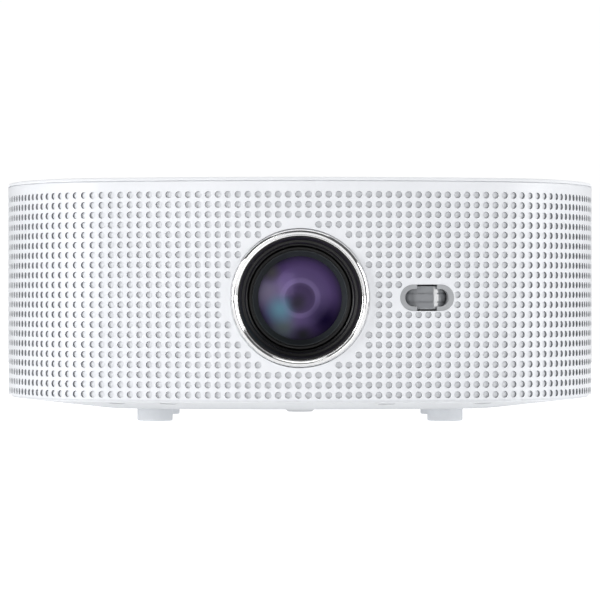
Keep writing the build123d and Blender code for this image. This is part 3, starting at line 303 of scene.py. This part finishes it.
def dimple(skin, c, k):
    """The hole below a cell's rim: returns the rim, and a vent's ring at the wall's inside."""
    lip_r = RIM_R - RIM_ROUND
    rim = rim_points(skin, c, k, "rim", RIM_R, 0.0, RIM)
    lip = rim_points(skin, c, k, "lip", lip_r, RIM_ROUND, WALL_SIDE)
    skin.strip(rim, lip)
    if is_vent(c, k):
        out = rim_points(skin, c, k, "out", lip_r, WALL, RIM)
        skin.strip(lip, out, shaded=True)
        return rim, out
    floor = rim_points(skin, c, k, "floor", lip_r - DIMPLE_TAPER, DIMPLE_DEPTH, FLOOR)
    skin.strip(lip, floor, shaded=True)
    skin.face(tuple(floor))
    return rim, None


def whole_cell(skin, c, k):
    """A cell that no opening cuts, plain or with its dimple, and the wall's inside behind it."""
    ring = cell_ring(skin, c, k)
    inner = cell_ring(skin, c, k, inner=True)
    if has_dimple(c, k):
        rim, out = dimple(skin, c, k)
        skin.strip(ring, rim, outer=True)
        if out:
            skin.strip(out, inner)
            return
    else:
        middle = rim_points(skin, c, k, "plain", RIM_R, 0.0, OUTER_FACE)
        skin.strip(ring, middle, outer=True)
        skin.face(tuple(middle), outer=True)
    skin.face(tuple(reversed(inner)))


def border_edges(cells):
    """The grid edges round a set of cells, each belonging to one cell only."""
    count = {}
    for c, k in cells:
        spots = cell_spots(c, k)
        for a, b in zip(spots, spots[1:] + spots[:1]):
            pair = frozenset((a, b))
            count[pair] = count.get(pair, 0) + 1
    return [tuple(pair) for pair, times in count.items() if times == 1]


class Plan:
    """Points and edges, in (s, z), of an area to be filled with triangles."""

    def __init__(self):
        self.places, self.keys, self.edges = [], [], []

    def add(self, place, key):
        self.places.append(Vector(place))
        self.keys.append(key)
        return len(self.places) - 1

    def border(self, cells):
        index = {}
        for a, b in border_edges(cells):
            for spot in (a, b):
                if spot not in index:
                    index[spot] = self.add(grid_place(*spot), ("grid",) + spot)
            self.edges.append((index[a], index[b]))

    def loop(self, places, key):
        first, count = len(self.places), len(places)
        for n, place in enumerate(places):
            self.add(place, key + (n,))
        self.edges += [(first + n, first + (n + 1) % count) for n in range(count)]

    def triangles(self):
        """Each triangle as three corners, a corner as its place and its point's key."""
        spots, _, triples, origin, _, _ = geometry.delaunay_2d_cdt(
            self.places, self.edges, [], 0, MERGE_DISTANCE)
        return [[(spots[i], self.keys[origin[i][0]]) for i in triple] for triple in triples]


def wall_triangle(skin, corners):
    """A triangle on the wall's outside, and its partner on the inside."""
    outer, inner = [], []
    for (s, z), key in corners:
        if key[0] == "grid":
            outer.append(grid_point(skin, key[1], key[2]))
            inner.append(grid_point(skin, key[1], key[2], inner=True))
        else:
            outer.append(skin.point(key, s, z))
            inner.append(skin.point(key + (True,), s, z, WALL))
    skin.face(tuple(outer), outer=True)
    skin.face(tuple(reversed(inner)))


def patch(skin, cells, loop, name):
    """Fills the cells that an opening cuts, from their border to its outline and the rims."""
    plan = Plan()
    plan.border(cells)
    plan.loop(loop, (name,))
    holes = [loop]
    for c, k in sorted(cells):
        circle = rim_circle(c, k, RIM_R)
        if not has_dimple(c, k) or any(inside(loop, *p) for p in circle):
            continue
        dimple(skin, c, k)
        holes.append(circle)
        plan.loop(circle, ("rim", c, k))
        back = [skin.point(("rim", c, k, n, True), s, z, WALL) for n, (s, z) in enumerate(circle)]
        skin.face(tuple(reversed(back)))

    for corners in plan.triangles():
        s = sum(spot.x for spot, _ in corners) / 3
        z = sum(spot.y for spot, _ in corners) / 3
        if cell_at(s, z) in cells and not any(inside(hole, s, z) for hole in holes):
            wall_triangle(skin, corners)

    brim = [skin.point((name, n), s, z) for n, (s, z) in enumerate(loop)]
    back = [skin.point((name, n, True), s, z, WALL) for n, (s, z) in enumerate(loop)]
    for i in brim:
        skin.kind[i] = RIM
    skin.strip(brim, back)


def edge_returns(skin, first, last):
    """The plain band above the dimples, and the wall's rounded top and bottom edges."""
    shell_lo, shell_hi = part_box("outer_shell")
    top, bottom = shell_hi.z, shell_lo.z
    steps = range(STEPS * first, STEPS * (last + 1) + 1)
    last_row = STEPS * ROWS

    def row(name, z, depth, kind=OUTER_FACE):
        return [skin.point((name, i), grid_place(i, 0)[0], z, depth, kind) for i in steps]

    upper = [grid_point(skin, i, last_row) for i in steps]
    upper_in = [grid_point(skin, i, last_row, inner=True) for i in steps]
    lower = [grid_point(skin, i, 0) for i in steps]
    lower_in = [grid_point(skin, i, 0, inner=True) for i in steps]
    shoulder = row("shoulder", top - EDGE_ROUND, 0.0)
    brink = row("brink", top, EDGE_ROUND, FLOOR)
    inside_top = row("inside_top", top, WALL, FLOOR)
    hem = row("hem", bottom, EDGE_ROUND / 2, FLOOR)
    inside_hem = row("inside_hem", bottom, WALL, FLOOR)
    skin.strip(upper, shoulder, outer=True, closed=False)
    for above, below in ((shoulder, brink), (brink, inside_top), (inside_top, upper_in),
                         (hem, lower), (inside_hem, hem), (lower_in, inside_hem)):
        skin.strip(above, below, closed=False)


def is_cut(loop, c, k):
    """True where an opening's outline crosses a cell, or runs close to its edge."""
    s0, z0 = cell_centre(c, k)
    ring = [grid_place(i, j) for i, j in cell_spots(c, k)]
    if any(inside(loop, *p) for p in ring) or any(near(loop, *p, CUT_REACH) for p in ring):
        return True
    return any(abs(s - s0) < PITCH / 2 and abs(z - z0) < ROW_PITCH / 2 for s, z in loop)


def is_swallowed(loop, c, k):
    """True for a cell wholly inside an opening."""
    ring = [grid_place(i, j) for i, j in cell_spots(c, k)]
    return all(inside(loop, *p) for p in ring) and not near(loop, *cell_centre(c, k), PITCH)


def wall_mesh(skin, name):
    """The stretch's mesh, with sharp rims and floors, and the body's own normals outside."""
    mesh = bpy.data.meshes.new(name)
    mesh.from_pydata(skin.points, [], skin.faces)
    mesh.shade_smooth()
    pairs = np.empty(2 * len(mesh.edges), int)
    mesh.edges.foreach_get("vertices", pairs)
    ends = np.array(skin.kind)[pairs.reshape(-1, 2)]
    sharp = (ends[:, 0] == ends[:, 1]) & ((ends[:, 0] == RIM) | (ends[:, 0] == FLOOR))
    mesh.attributes.new("sharp_edge", "BOOLEAN", "EDGE").data.foreach_set("value", sharp)
    normals = []
    for corners, outer in zip(skin.faces, skin.outer):
        for i in corners:
            normals.append(surface(skin.arc[i], 0.0)[1] if outer else (0.0, 0.0, 0.0))
    mesh.normals_split_custom_set(normals)
    # Faces on the dimples' and vents' sides take the second material, whose dark grey paints
    # shade.
    mesh.polygons.foreach_set("material_index", [int(shaded) for shaded in skin.shaded])
    return mesh


def shell_piece(name, first, last, openings):
    skin = Skin()
    taken = set()
    cells = [(c, k) for c in range(first, last + 1) for k in range(ROWS)]
    for title, loop in openings:
        swallowed = {cell for cell in cells if is_swallowed(loop, *cell)}
        touched = {cell for cell in cells if cell not in swallowed and is_cut(loop, *cell)}
        patch(skin, touched, loop, title)
        taken |= touched | swallowed
    for cell in cells:
        if cell not in taken:
            whole_cell(skin, *cell)
    edge_returns(skin, first, last)
    piece = bpy.data.objects.new(name, wall_mesh(skin, name))
    bpy.context.scene.collection.objects.link(piece)
    return piece


def build_shell(finishes):
    """The dimpled wall in four stretches, each of a quarter of the columns."""
    quarter = COLUMNS // 4
    start = -(quarter // 2)
    stretches = [
        ("shell_front", start, [("lens", lens_outline()), ("window", window_outline())]),
        ("shell_right", start + quarter, []),
        ("shell_rear", start + 2 * quarter, [("ports", rear_outline())]),
        ("shell_left", start + 3 * quarter, []),
    ]
    for name, first, openings in stretches:
        piece = shell_piece(name, first, first + quarter - 1, openings)
        piece.data.materials.append(finishes["shell"])
        # The second material paints shade on the dimples' and vents' sides, a dark grey.
        piece.data.materials.append(finishes["dimple_wall"])
        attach(piece, "root")
        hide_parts("outer_shell")


# ---------------------------------------------------------------- turned pieces on the lens axis
# Profiles are (radius, y) in millimetres, with y as in the CAD.
TURN_STEPS = 240
CORNER_STEPS = 4          # mesh steps round each rounded corner
CORNER_SHARE = 0.4        # of a side's length that one rounded corner may take
SHARP_ANGLE = math.radians(32)
TRIM_ROUND = 0.35
FUNNEL_ROUND = 0.12
RETAINER_ROUND = 0.1
TRIM_PROFILE = [(20.15, -77.2), (20.45, -77.35), (20.55, -77.25), (21.2, -77.9), (22.0, -77.5),
                (22.5, -76.7), (22.5, -73.0), (25.5, -73.0), (25.5, -71.0), (20.15, -71.0)]
SHROUD_PROFILE = [(20.15, -76.8), (20.15, -66.0), (18.35, -64.0), (18.35, -60.0), (17.15, -60.0),
                  (17.15, -69.5), (17.65, -69.8), (18.05, -72.6), (18.85, -72.9), (19.65, -76.8)]
RETAINER_PROFILE = [(13.75, -62.2), (13.75, -61.5), (15.6, -61.5), (15.6, -67.7), (15.3, -67.7),
                    (15.3, -64.0)]
GLASS_R = 14.5
GLASS_EDGE_FRONT = -61.0
GLASS_CROWN = -64.4
GLASS_EDGE_BACK = -56.5
GLASS_BULGE = 1.6         # of its rear face, backwards
GLASS_STEPS = 24


def weld(mesh):
    """Joins the points that meet on the axis and turns every face outwards."""
    work = bmesh.new()
    work.from_mesh(mesh)
    bmesh.ops.remove_doubles(work, verts=work.verts, dist=MERGE_DISTANCE)
    bmesh.ops.recalc_face_normals(work, faces=work.faces)
    work.to_mesh(mesh)
    work.free()


def lathe(name, profile, closed):
    """A solid of revolution about the lens axis."""
    points, faces = [], []
    count = len(profile)
    spans = count if closed else count - 1
    for i in range(TURN_STEPS):
        a = math.tau * i / TURN_STEPS
        for r, y in profile:
            points.append((LENS_X + r * MM * math.cos(a), y * MM, LENS_Z + r * MM * math.sin(a)))
        j = (i + 1) % TURN_STEPS
        for n in range(spans):
            m = (n + 1) % count
            faces.append((i * count + n, i * count + m, j * count + m, j * count + n))
    mesh = bpy.data.meshes.new(name)
    mesh.from_pydata(points, [], faces)
    mesh.shade_smooth()
    weld(mesh)
    mesh.set_sharp_from_angle(angle=SHARP_ANGLE)
    piece = bpy.data.objects.new(name, mesh)
    bpy.context.scene.collection.objects.link(piece)
    return piece


def rounded(profile, radius):
    """The closed profile with each corner rounded, by up to radius."""
    result = []
    count = len(profile)
    for n in range(count):
        before, here, after = (Vector(profile[(n + d) % count]) for d in (-1, 0, 1))
        to_before, to_after = before - here, after - here
        cut = min(radius, to_before.length * CORNER_SHARE, to_after.length * CORNER_SHARE)
        a = here + to_before.normalized() * cut
        b = here + to_after.normalized() * cut
        for i in range(CORNER_STEPS + 1):
            t = i / CORNER_STEPS
            result.append(tuple((1 - t) ** 2 * a + 2 * t * (1 - t) * here + t ** 2 * b))
    return result


def glass_arc(middle, edge):
    """Half a lens face, a parabola from the axis to the rim."""
    points = []
    for i in range(GLASS_STEPS + 1):
        r = GLASS_R * i / GLASS_STEPS
        points.append((r, middle + (edge - middle) * (r / GLASS_R) ** 2))
    return points


def glass_profile():
    """The front lens: a deep crown in front, a shallow one behind."""
    front = glass_arc(GLASS_CROWN, GLASS_EDGE_FRONT)
    back = glass_arc(GLASS_EDGE_BACK + GLASS_BULGE, GLASS_EDGE_BACK)
    return front + back[::-1]


def build_lens(finishes):
    trim = lathe("trim_ring_polished", rounded(TRIM_PROFILE, TRIM_ROUND), True)
    funnel = lathe("lens_funnel", rounded(SHROUD_PROFILE, FUNNEL_ROUND), True)
    retainer = lathe("glass_retainer", rounded(RETAINER_PROFILE, RETAINER_ROUND), True)
    glass = lathe("front_glass", glass_profile(), False)
    for piece, body, node, slot, finish in (
            (trim, "root", "lens_trim_ring", "chrome_trim", "chrome"),
            (funnel, "root", "lens_shroud", "black_plastic", "lens_black"),
            (retainer, "lens_carriage", "lens_retaining_ring", "black_plastic", "retainer"),
            (glass, "lens_carriage", "front_lens", "coated_glass", "coated_glass")):
        piece.data.materials.append(finishes[finish])
        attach(piece, body)
        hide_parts(node)


# ---------------------------------------------------------------- materials
RELIEF_DEPTH = 0.05 * MM
GRAIN_DETAIL = 4.0
DRIFT_DETAIL = 2.0
ROUGHNESS_SPREAD = 0.15   # the grain moves the roughness by this share, both ways


def new_material(name):
    material = bpy.data.materials.new(name)
    material.use_nodes = True
    tree = material.node_tree
    return material, tree, tree.nodes["Principled BSDF"]


def noise(tree, scale, detail=DRIFT_DETAIL, stretch=(1, 1, 1)):
    """Noise in the object's own coordinates, so it stays with the piece."""
    place = tree.nodes.new("ShaderNodeTexCoord")
    mapping = tree.nodes.new("ShaderNodeMapping")
    mapping.inputs["Scale"].default_value = stretch
    texture = tree.nodes.new("ShaderNodeTexNoise")
    texture.inputs["Scale"].default_value = scale
    texture.inputs["Detail"].default_value = detail
    tree.links.new(place.outputs["Object"], mapping.inputs["Vector"])
    tree.links.new(mapping.outputs["Vector"], texture.inputs["Vector"])
    return texture.outputs["Fac"]


def ramp(tree, source, low, high, start=0.3, end=0.7):
    """A colour that runs from low to high as the source goes from start to end."""
    node = tree.nodes.new("ShaderNodeValToRGB")
    for element, position, colour in zip(node.color_ramp.elements, (start, end), (low, high)):
        element.position = position
        element.color = (*colour, 1)
    tree.links.new(source, node.inputs["Fac"])
    return node.outputs["Color"]


def relief(tree, shader, height, strength, depth=RELIEF_DEPTH):
    node = tree.nodes.new("ShaderNodeBump")
    node.inputs["Strength"].default_value = strength
    node.inputs["Distance"].default_value = depth
    tree.links.new(height, node.inputs["Height"])
    tree.links.new(node.outputs["Normal"], shader.inputs["Normal"])


def surface_finish(name, low, high, rough, grain, bump, metallic=0.0, specular=0.5, coat=0.0,
                   patches=60, stretch=(1, 1, 1)):
    """A moulded or metal finish: slow colour drift, and fine grain in roughness and relief."""
    material, tree, shader = new_material(name)
    tree.links.new(ramp(tree, noise(tree, patches), low, high), shader.inputs["Base Color"])
    fine = noise(tree, grain, GRAIN_DETAIL, stretch)
    spread = tree.nodes.new("ShaderNodeMapRange")
    spread.inputs["To Min"].default_value = rough * (1 - ROUGHNESS_SPREAD)
    spread.inputs["To Max"].default_value = min(1.0, rough * (1 + ROUGHNESS_SPREAD))
    tree.links.new(fine, spread.inputs["Value"])
    tree.links.new(spread.outputs["Result"], shader.inputs["Roughness"])
    relief(tree, shader, fine, bump)
    shader.inputs["Metallic"].default_value = metallic
    shader.inputs["Specular IOR Level"].default_value = specular
    shader.inputs["Coat Weight"].default_value = coat
    return material


def grey(value):
    return (value, value, value)


# Colour of the front glass, painted reflections and a painted ring highlight: along its radius as
# a share of GLASS_R, and then in soft patches of painted reflection, light and dark, each with its
# place in millimetres from the lens axis and its reach.
# A dark violet body, with a lighter violet ring of painted highlight from 0.36 to 0.44.
GLASS_PAINTED_RINGS = [
    (0.00, (0.075, 0.055, 0.120)), (0.26, (0.080, 0.055, 0.135)), (0.33, (0.110, 0.078, 0.180)),
    (0.36, (0.220, 0.165, 0.360)), (0.44, (0.210, 0.155, 0.345)), (0.48, (0.150, 0.105, 0.260)),
    (0.68, (0.140, 0.092, 0.250)), (0.82, (0.100, 0.062, 0.190)), (0.955, (0.050, 0.038, 0.085)),
]
# Patches of painted reflection: lavender, grey, teal, and near black for the dark ones.
GLASS_PAINTED_REFLECTIONS = [
    ((-11.0, 2.0), 8.0, (0.270, 0.240, 0.370)), ((-5.5, -9.5), 6.5, (0.150, 0.190, 0.205)),
    ((-6.6, -3.8), 6.5, (0.150, 0.350, 0.450)), ((8.0, -6.8), 9.5, (0.006, 0.002, 0.030)),
    ((1.0, -12.0), 5.0, (0.040, 0.040, 0.050)), ((-9.5, 8.5), 4.5, (0.110, 0.105, 0.115)),
    ((-0.8, -1.8), 4.6, (0.028, 0.028, 0.030)),
]
GLASS_TINT = (0.55, 0.38, 1.0, 1)


def from_axis(tree, centre, reach, start, end, smooth):
    """Fades from start at a point on the glass to end at its reach, both in millimetres."""
    place = tree.nodes.new("ShaderNodeTexCoord")
    shifted = tree.nodes.new("ShaderNodeMapping")
    shifted.inputs["Location"].default_value = (
        -LENS_X - centre[0] * MM, 0, -LENS_Z - centre[1] * MM)
    flat = tree.nodes.new("ShaderNodeVectorMath")
    flat.operation = "MULTIPLY"
    flat.inputs[1].default_value = (1, 0, 1)
    length = tree.nodes.new("ShaderNodeVectorMath")
    length.operation = "LENGTH"
    fade = tree.nodes.new("ShaderNodeMapRange")
    fade.interpolation_type = "SMOOTHSTEP" if smooth else "LINEAR"
    fade.inputs["From Max"].default_value = reach * MM
    fade.inputs["To Min"].default_value = start
    fade.inputs["To Max"].default_value = end
    tree.links.new(place.outputs["Object"], shifted.inputs["Vector"])
    tree.links.new(shifted.outputs["Vector"], flat.inputs[0])
    tree.links.new(flat.outputs["Vector"], length.inputs[0])
    tree.links.new(length.outputs["Value"], fade.inputs["Value"])
    return fade.outputs["Result"]


def tinted(tree, base, mask, colour):
    mix = tree.nodes.new("ShaderNodeMix")
    mix.data_type = "RGBA"
    mix.inputs["B"].default_value = (*colour, 1)
    tree.links.new(mask, mix.inputs["Factor"])
    tree.links.new(base, mix.inputs["A"])
    return mix.outputs["Result"]


def painted_reflection_glass_material():
    """Front lens: dark glass whose colour paints its reflections over its face, violet rings with
    a painted ring highlight and patches of painted reflection from violet to teal.
    """
    material, tree, shader = new_material("front_glass_painted_reflections")
    # Radial colour: dark violet with a lighter ring of painted highlight.
    rings = tree.nodes.new("ShaderNodeValToRGB")
    elements = rings.color_ramp.elements
    for element, (position, colour) in zip(elements, (GLASS_PAINTED_RINGS[0], GLASS_PAINTED_RINGS[-1])):
        element.position, element.color = position, (*colour, 1)
    for position, colour in GLASS_PAINTED_RINGS[1:-1]:
        elements.new(position).color = (*colour, 1)
    tree.links.new(from_axis(tree, (0, 0), GLASS_R, 0.0, 1.0, False), rings.inputs["Fac"])
    colour = rings.outputs["Color"]
    # Soft patches of painted reflection, light and dark, laid over the rings.
    for centre, reach, tint in GLASS_PAINTED_REFLECTIONS:
        colour = tinted(tree, colour, from_axis(tree, centre, reach, 1.0, 0.0, True), tint)
    tree.links.new(colour, shader.inputs["Base Color"])
    shader.inputs["Roughness"].default_value = 0.22
    shader.inputs["Specular IOR Level"].default_value = 0.30
    shader.inputs["Specular Tint"].default_value = GLASS_TINT
    shader.inputs["Coat Weight"].default_value = 0.06
    shader.inputs["Coat Roughness"].default_value = 0.02
    return material


def clear_glass_material(name, tint):
    material, tree, shader = new_material(name)
    darker = tuple(0.92 * t for t in tint)
    tree.links.new(ramp(tree, noise(tree, 40), darker, tint), shader.inputs["Base Color"])
    shader.inputs["Roughness"].default_value = 0.03
    shader.inputs["Transmission Weight"].default_value = 0.9
    shader.inputs["IOR"].default_value = 1.5
    return material


def foam_material():
    """Open-cell dust filter."""
    material, tree, shader = new_material("open_foam")
    place = tree.nodes.new("ShaderNodeTexCoord")
    cells = tree.nodes.new("ShaderNodeTexVoronoi")
    cells.inputs["Scale"].default_value = 900
    tree.links.new(place.outputs["Object"], cells.inputs["Vector"])
    distance = cells.outputs["Distance"]
    shade = ramp(tree, distance, grey(0.06), grey(0.012), 0.1, 0.6)
    tree.links.new(shade, shader.inputs["Base Color"])
    relief(tree, shader, distance, 0.6, 0.4 * MM)
    shader.inputs["Roughness"].default_value = 0.95
    return material


# Each finish: material name, its darker and lighter colour, roughness, grain scale, relief
# strength, and what else it sets.
FINISHES = {
    "shell": ("white_wall_plastic", (0.805, 0.82, 0.85), (0.825, 0.84, 0.87),
              0.38, 2600, 0.05, {}),
    # The dimples' and vents' sides: a dark grey copy of the wall plastic, painted shade in these
    # hollows.
    "dimple_wall": ("dimple_painted_shade_plastic", (0.19, 0.20, 0.215), (0.22, 0.23, 0.245),
                    0.6, 2600, 0.05, {}),
    "cover": ("white_cover_plastic", (0.815, 0.83, 0.855), (0.835, 0.85, 0.875),
              0.6, 2600, 0.10, {"specular": 0.3}),
    "base": ("pale_base_plastic", (0.75, 0.765, 0.785), (0.78, 0.795, 0.815),
             0.5, 1800, 0.15, {}),
    "button": ("button_plastic", (0.80, 0.81, 0.82), (0.83, 0.835, 0.845),
               0.32, 2400, 0.08, {}),
    "rubber": ("foot_rubber_pale", (0.82, 0.84, 0.87), (0.86, 0.88, 0.91),
               0.7, 1500, 0.30, {"specular": 0.25}),
    "chrome": ("polished_chrome", grey(0.80), grey(0.84), 0.07, 900, 0.0, {"metallic": 1.0}),
    "lens_black": ("lens_black_plastic", grey(0.006), grey(0.009),
                   0.42, 2200, 0.10, {"specular": 0.35}),
    "retainer": ("retainer_dark_anodised", (0.030, 0.036, 0.038), (0.036, 0.043, 0.045),
                 0.42, 1500, 0.04, {"specular": 0.4}),
    "window": ("window_grey_plastic", (0.36, 0.37, 0.385), (0.40, 0.41, 0.425),
               0.3, 2200, 0.08, {}),
    "wheel": ("wheel_grey_plastic", (0.26, 0.27, 0.285), (0.29, 0.30, 0.315),
              0.12, 2200, 0.02, {"specular": 1.0, "coat": 1.0}),
    "lcd": ("lcd_panel_dark", (0.020, 0.024, 0.035), (0.030, 0.034, 0.050),
            0.12, 1200, 0.0, {"coat": 0.6}),
    "engine": ("engine_black_plastic", grey(0.018), grey(0.026), 0.5, 1600, 0.25, {}),
    "panel": ("panel_black_plastic", grey(0.016), grey(0.022), 0.45, 1900, 0.22, {}),
    "fan": ("fan_black_plastic", grey(0.020), grey(0.028), 0.42, 1700, 0.15, {}),
    "chip": ("chip_epoxy", grey(0.014), grey(0.020), 0.6, 2500, 0.20, {}),
    "dark": ("component_plastic", grey(0.035), grey(0.050), 0.5, 1500, 0.15, {}),
    "ir": ("ir_smoke", (0.020, 0.006, 0.010), (0.028, 0.009, 0.013),
           0.08, 1500, 0.0, {"coat": 0.8}),
    "board": ("board_solder_mask", (0.010, 0.075, 0.035), (0.014, 0.095, 0.045),
              0.35, 700, 0.10, {"coat": 0.3, "patches": 220}),
    "ribbon": ("ribbon_film", (0.42, 0.20, 0.04), (0.50, 0.25, 0.05),
               0.35, 500, 0.05, {"stretch": (8, 1, 1)}),
    "steel": ("zinc_steel", grey(0.55), grey(0.63), 0.32, 1800, 0.10, {"metallic": 1.0}),
    "brass": ("turned_brass", (0.72, 0.50, 0.20), (0.80, 0.57, 0.25),
              0.28, 1400, 0.12, {"metallic": 1.0, "stretch": (1, 1, 6)}),
    "aluminium": ("extruded_aluminium", grey(0.66), grey(0.74),
                  0.38, 900, 0.15, {"metallic": 1.0, "stretch": (1, 1, 12)}),
    "port_metal": ("plated_port_shell", grey(0.60), grey(0.68),
                   0.25, 1500, 0.06, {"metallic": 1.0}),
    "speaker_metal": ("speaker_basket_steel", grey(0.25), grey(0.32),
                      0.4, 1500, 0.12, {"metallic": 0.9}),
    "reflector": ("vapour_silver", grey(0.80), grey(0.86), 0.12, 700, 0.04, {"metallic": 1.0}),
    "phosphor": ("yellow_phosphor", (0.72, 0.60, 0.10), (0.80, 0.68, 0.14),
                 0.6, 2600, 0.20, {}),
    "paper": ("speaker_cone_paper", grey(0.045), grey(0.075),
              0.85, 1300, 0.50, {"specular": 0.2}),
}

# The finish of each material slot in the record. The outer shell, trim ring, shroud, retaining
# ring and front lens are replaced by pieces with finishes of their own.
SLOT_FINISH = {
    "white_cover": "cover", "pale_base": "base", "foot_rubber": "rubber",
    "brass_insert": "brass", "steel": "steel", "chrome_trim": "chrome",
    "black_plastic": "lens_black", "window_grey": "window", "wheel_grey": "wheel",
    "engine_black": "engine", "clear_glass": "clear_glass", "coated_glass": "middle_glass",
    "panel_black": "panel", "lcd_glass": "lcd", "reflector": "reflector",
    "aluminium_bare": "aluminium", "phosphor": "phosphor", "board_green": "board",
    "chip_black": "chip", "ribbon_amber": "ribbon", "port_metal": "port_metal",
    "ir_dark": "ir", "component_dark": "dark", "fan_black": "fan", "foam": "foam",
    "speaker_metal": "speaker_metal", "speaker_paper": "paper", "button_white": "button",
    "white_shell": "shell",
}


def make_finishes():
    finishes = {key: surface_finish(*values, **others)
                for key, (*values, others) in FINISHES.items()}
    finishes["coated_glass"] = painted_reflection_glass_material()
    finishes["middle_glass"] = clear_glass_material("violet_inner_glass", (0.62, 0.55, 0.85))
    finishes["clear_glass"] = clear_glass_material("clear_inner_glass", (0.93, 0.96, 0.95))
    finishes["foam"] = foam_material()
    return finishes


def dress_nodes(finishes):
    """Each CAD node gets the finish of its slot; its own shape stays."""
    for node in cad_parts.values():
        slot = node.data.materials[0].name.split(".")[0]
        node.data.materials[0] = finishes[SLOT_FINISH[slot]]


# ---------------------------------------------------------------- floor, light and camera
FLOOR_R = 0.9
FLOOR_SIDES = 96
FLOOR_GLOW = 0.88         # what the camera sees, so the floor runs into the white backdrop
FLOOR_FILL = 0.39         # what the object gets from it
BACKDROP = (1.02, 1.02, 1.02, 1)
AMBIENT = (0.12, 0.12, 0.1224, 1)

# Each light: its place, width and height, and watts. All face LIT_POINT.
LIT_POINT = (0, 0, 0.04)
LIGHTS = {
    "key_left": ((-1.33, -0.70, 0.42), (0.45, 0.9), 11.9),
    "side_left": ((-1.5, -0.05, 0.40), (0.8, 0.9), 0.8),
    "fill_left": ((-0.42, -1.38, 0.45), (0.5, 0.7), 4.3),
    "key_right": ((1.42, -0.45, 0.35), (1.0, 0.9), 11.8),
    "top_soft": ((0, 0.1, 1.3), (1.2, 0.8), 6.5),
    "rear_soft": ((1.2, 1.1, 0.7), (1.0, 0.8), 7),
}

CAMERA_DISTANCE = 1.077
CAMERA_HEIGHT = 42.5 * MM
SENSOR_WIDTH = 36
FOCAL_LENGTH = 185.8
FRAME_SHIFT = -5 / 600


def build_lights():
    for name, (place, size, watts) in LIGHTS.items():
        data = bpy.data.lights.new(name, "AREA")
        data.shape = "RECTANGLE"
        data.size, data.size_y = size
        data.energy = watts
        light = bpy.data.objects.new(name, data)
        light.location = place
        towards = Vector(LIT_POINT) - Vector(place)
        light.rotation_euler = towards.to_track_quat("-Z", "Y").to_euler()
        bpy.context.scene.collection.objects.link(light)


def build_floor():
    around = [math.tau * i / FLOOR_SIDES for i in range(FLOOR_SIDES)]
    rim = [(FLOOR_R * math.cos(a), FLOOR_R * math.sin(a), 0) for a in around]
    mesh = bpy.data.meshes.new("floor")
    mesh.from_pydata(rim, [], [tuple(range(FLOOR_SIDES))])
    floor = bpy.data.objects.new("floor", mesh)
    bpy.context.scene.collection.objects.link(floor)
    material, tree, shader = new_material("pale_floor")
    tint = ramp(tree, noise(tree, 3), grey(0.78), grey(0.80))
    tree.links.new(tint, shader.inputs["Base Color"])
    shader.inputs["Roughness"].default_value = 0.9
    shader.inputs["Emission Color"].default_value = (1, 1, 1, 1)
    path = tree.nodes.new("ShaderNodeLightPath")
    glow = tree.nodes.new("ShaderNodeMapRange")
    glow.inputs["To Min"].default_value = FLOOR_FILL
    glow.inputs["To Max"].default_value = FLOOR_GLOW
    tree.links.new(path.outputs["Is Camera Ray"], glow.inputs["Value"])
    tree.links.new(glow.outputs["Result"], shader.inputs["Emission Strength"])
    mesh.materials.append(material)


def build_world():
    """White behind the object, a dimmer even fill on it."""
    world = bpy.data.worlds.new("studio")
    world.use_nodes = True
    tree = world.node_tree
    fill = tree.nodes["Background"]
    fill.inputs["Color"].default_value = AMBIENT
    white = tree.nodes.new("ShaderNodeBackground")
    white.inputs["Color"].default_value = BACKDROP
    path = tree.nodes.new("ShaderNodeLightPath")
    mix = tree.nodes.new("ShaderNodeMixShader")
    tree.links.new(path.outputs["Is Camera Ray"], mix.inputs["Fac"])
    tree.links.new(fill.outputs["Background"], mix.inputs[1])
    tree.links.new(white.outputs["Background"], mix.inputs[2])
    tree.links.new(mix.outputs["Shader"], tree.nodes["World Output"].inputs["Surface"])
    bpy.context.scene.world = world


def build_camera():
    data = bpy.data.cameras.new("camera")
    data.sensor_width = SENSOR_WIDTH
    data.lens = FOCAL_LENGTH
    data.shift_y = FRAME_SHIFT
    data.clip_start = 0.01
    camera = bpy.data.objects.new("camera", data)
    camera.location = (0, -CAMERA_DISTANCE, CAMERA_HEIGHT)
    camera.rotation_euler = (math.radians(90), 0, 0)
    bpy.context.scene.collection.objects.link(camera)
    bpy.context.scene.camera = camera


def build():
    finishes = make_finishes()
    dress_nodes(finishes)
    build_shell(finishes)
    build_lens(finishes)
    build_floor()
    build_world()
    build_lights()
    build_camera()
    bpy.context.scene.view_settings.view_transform = "Standard"


build()
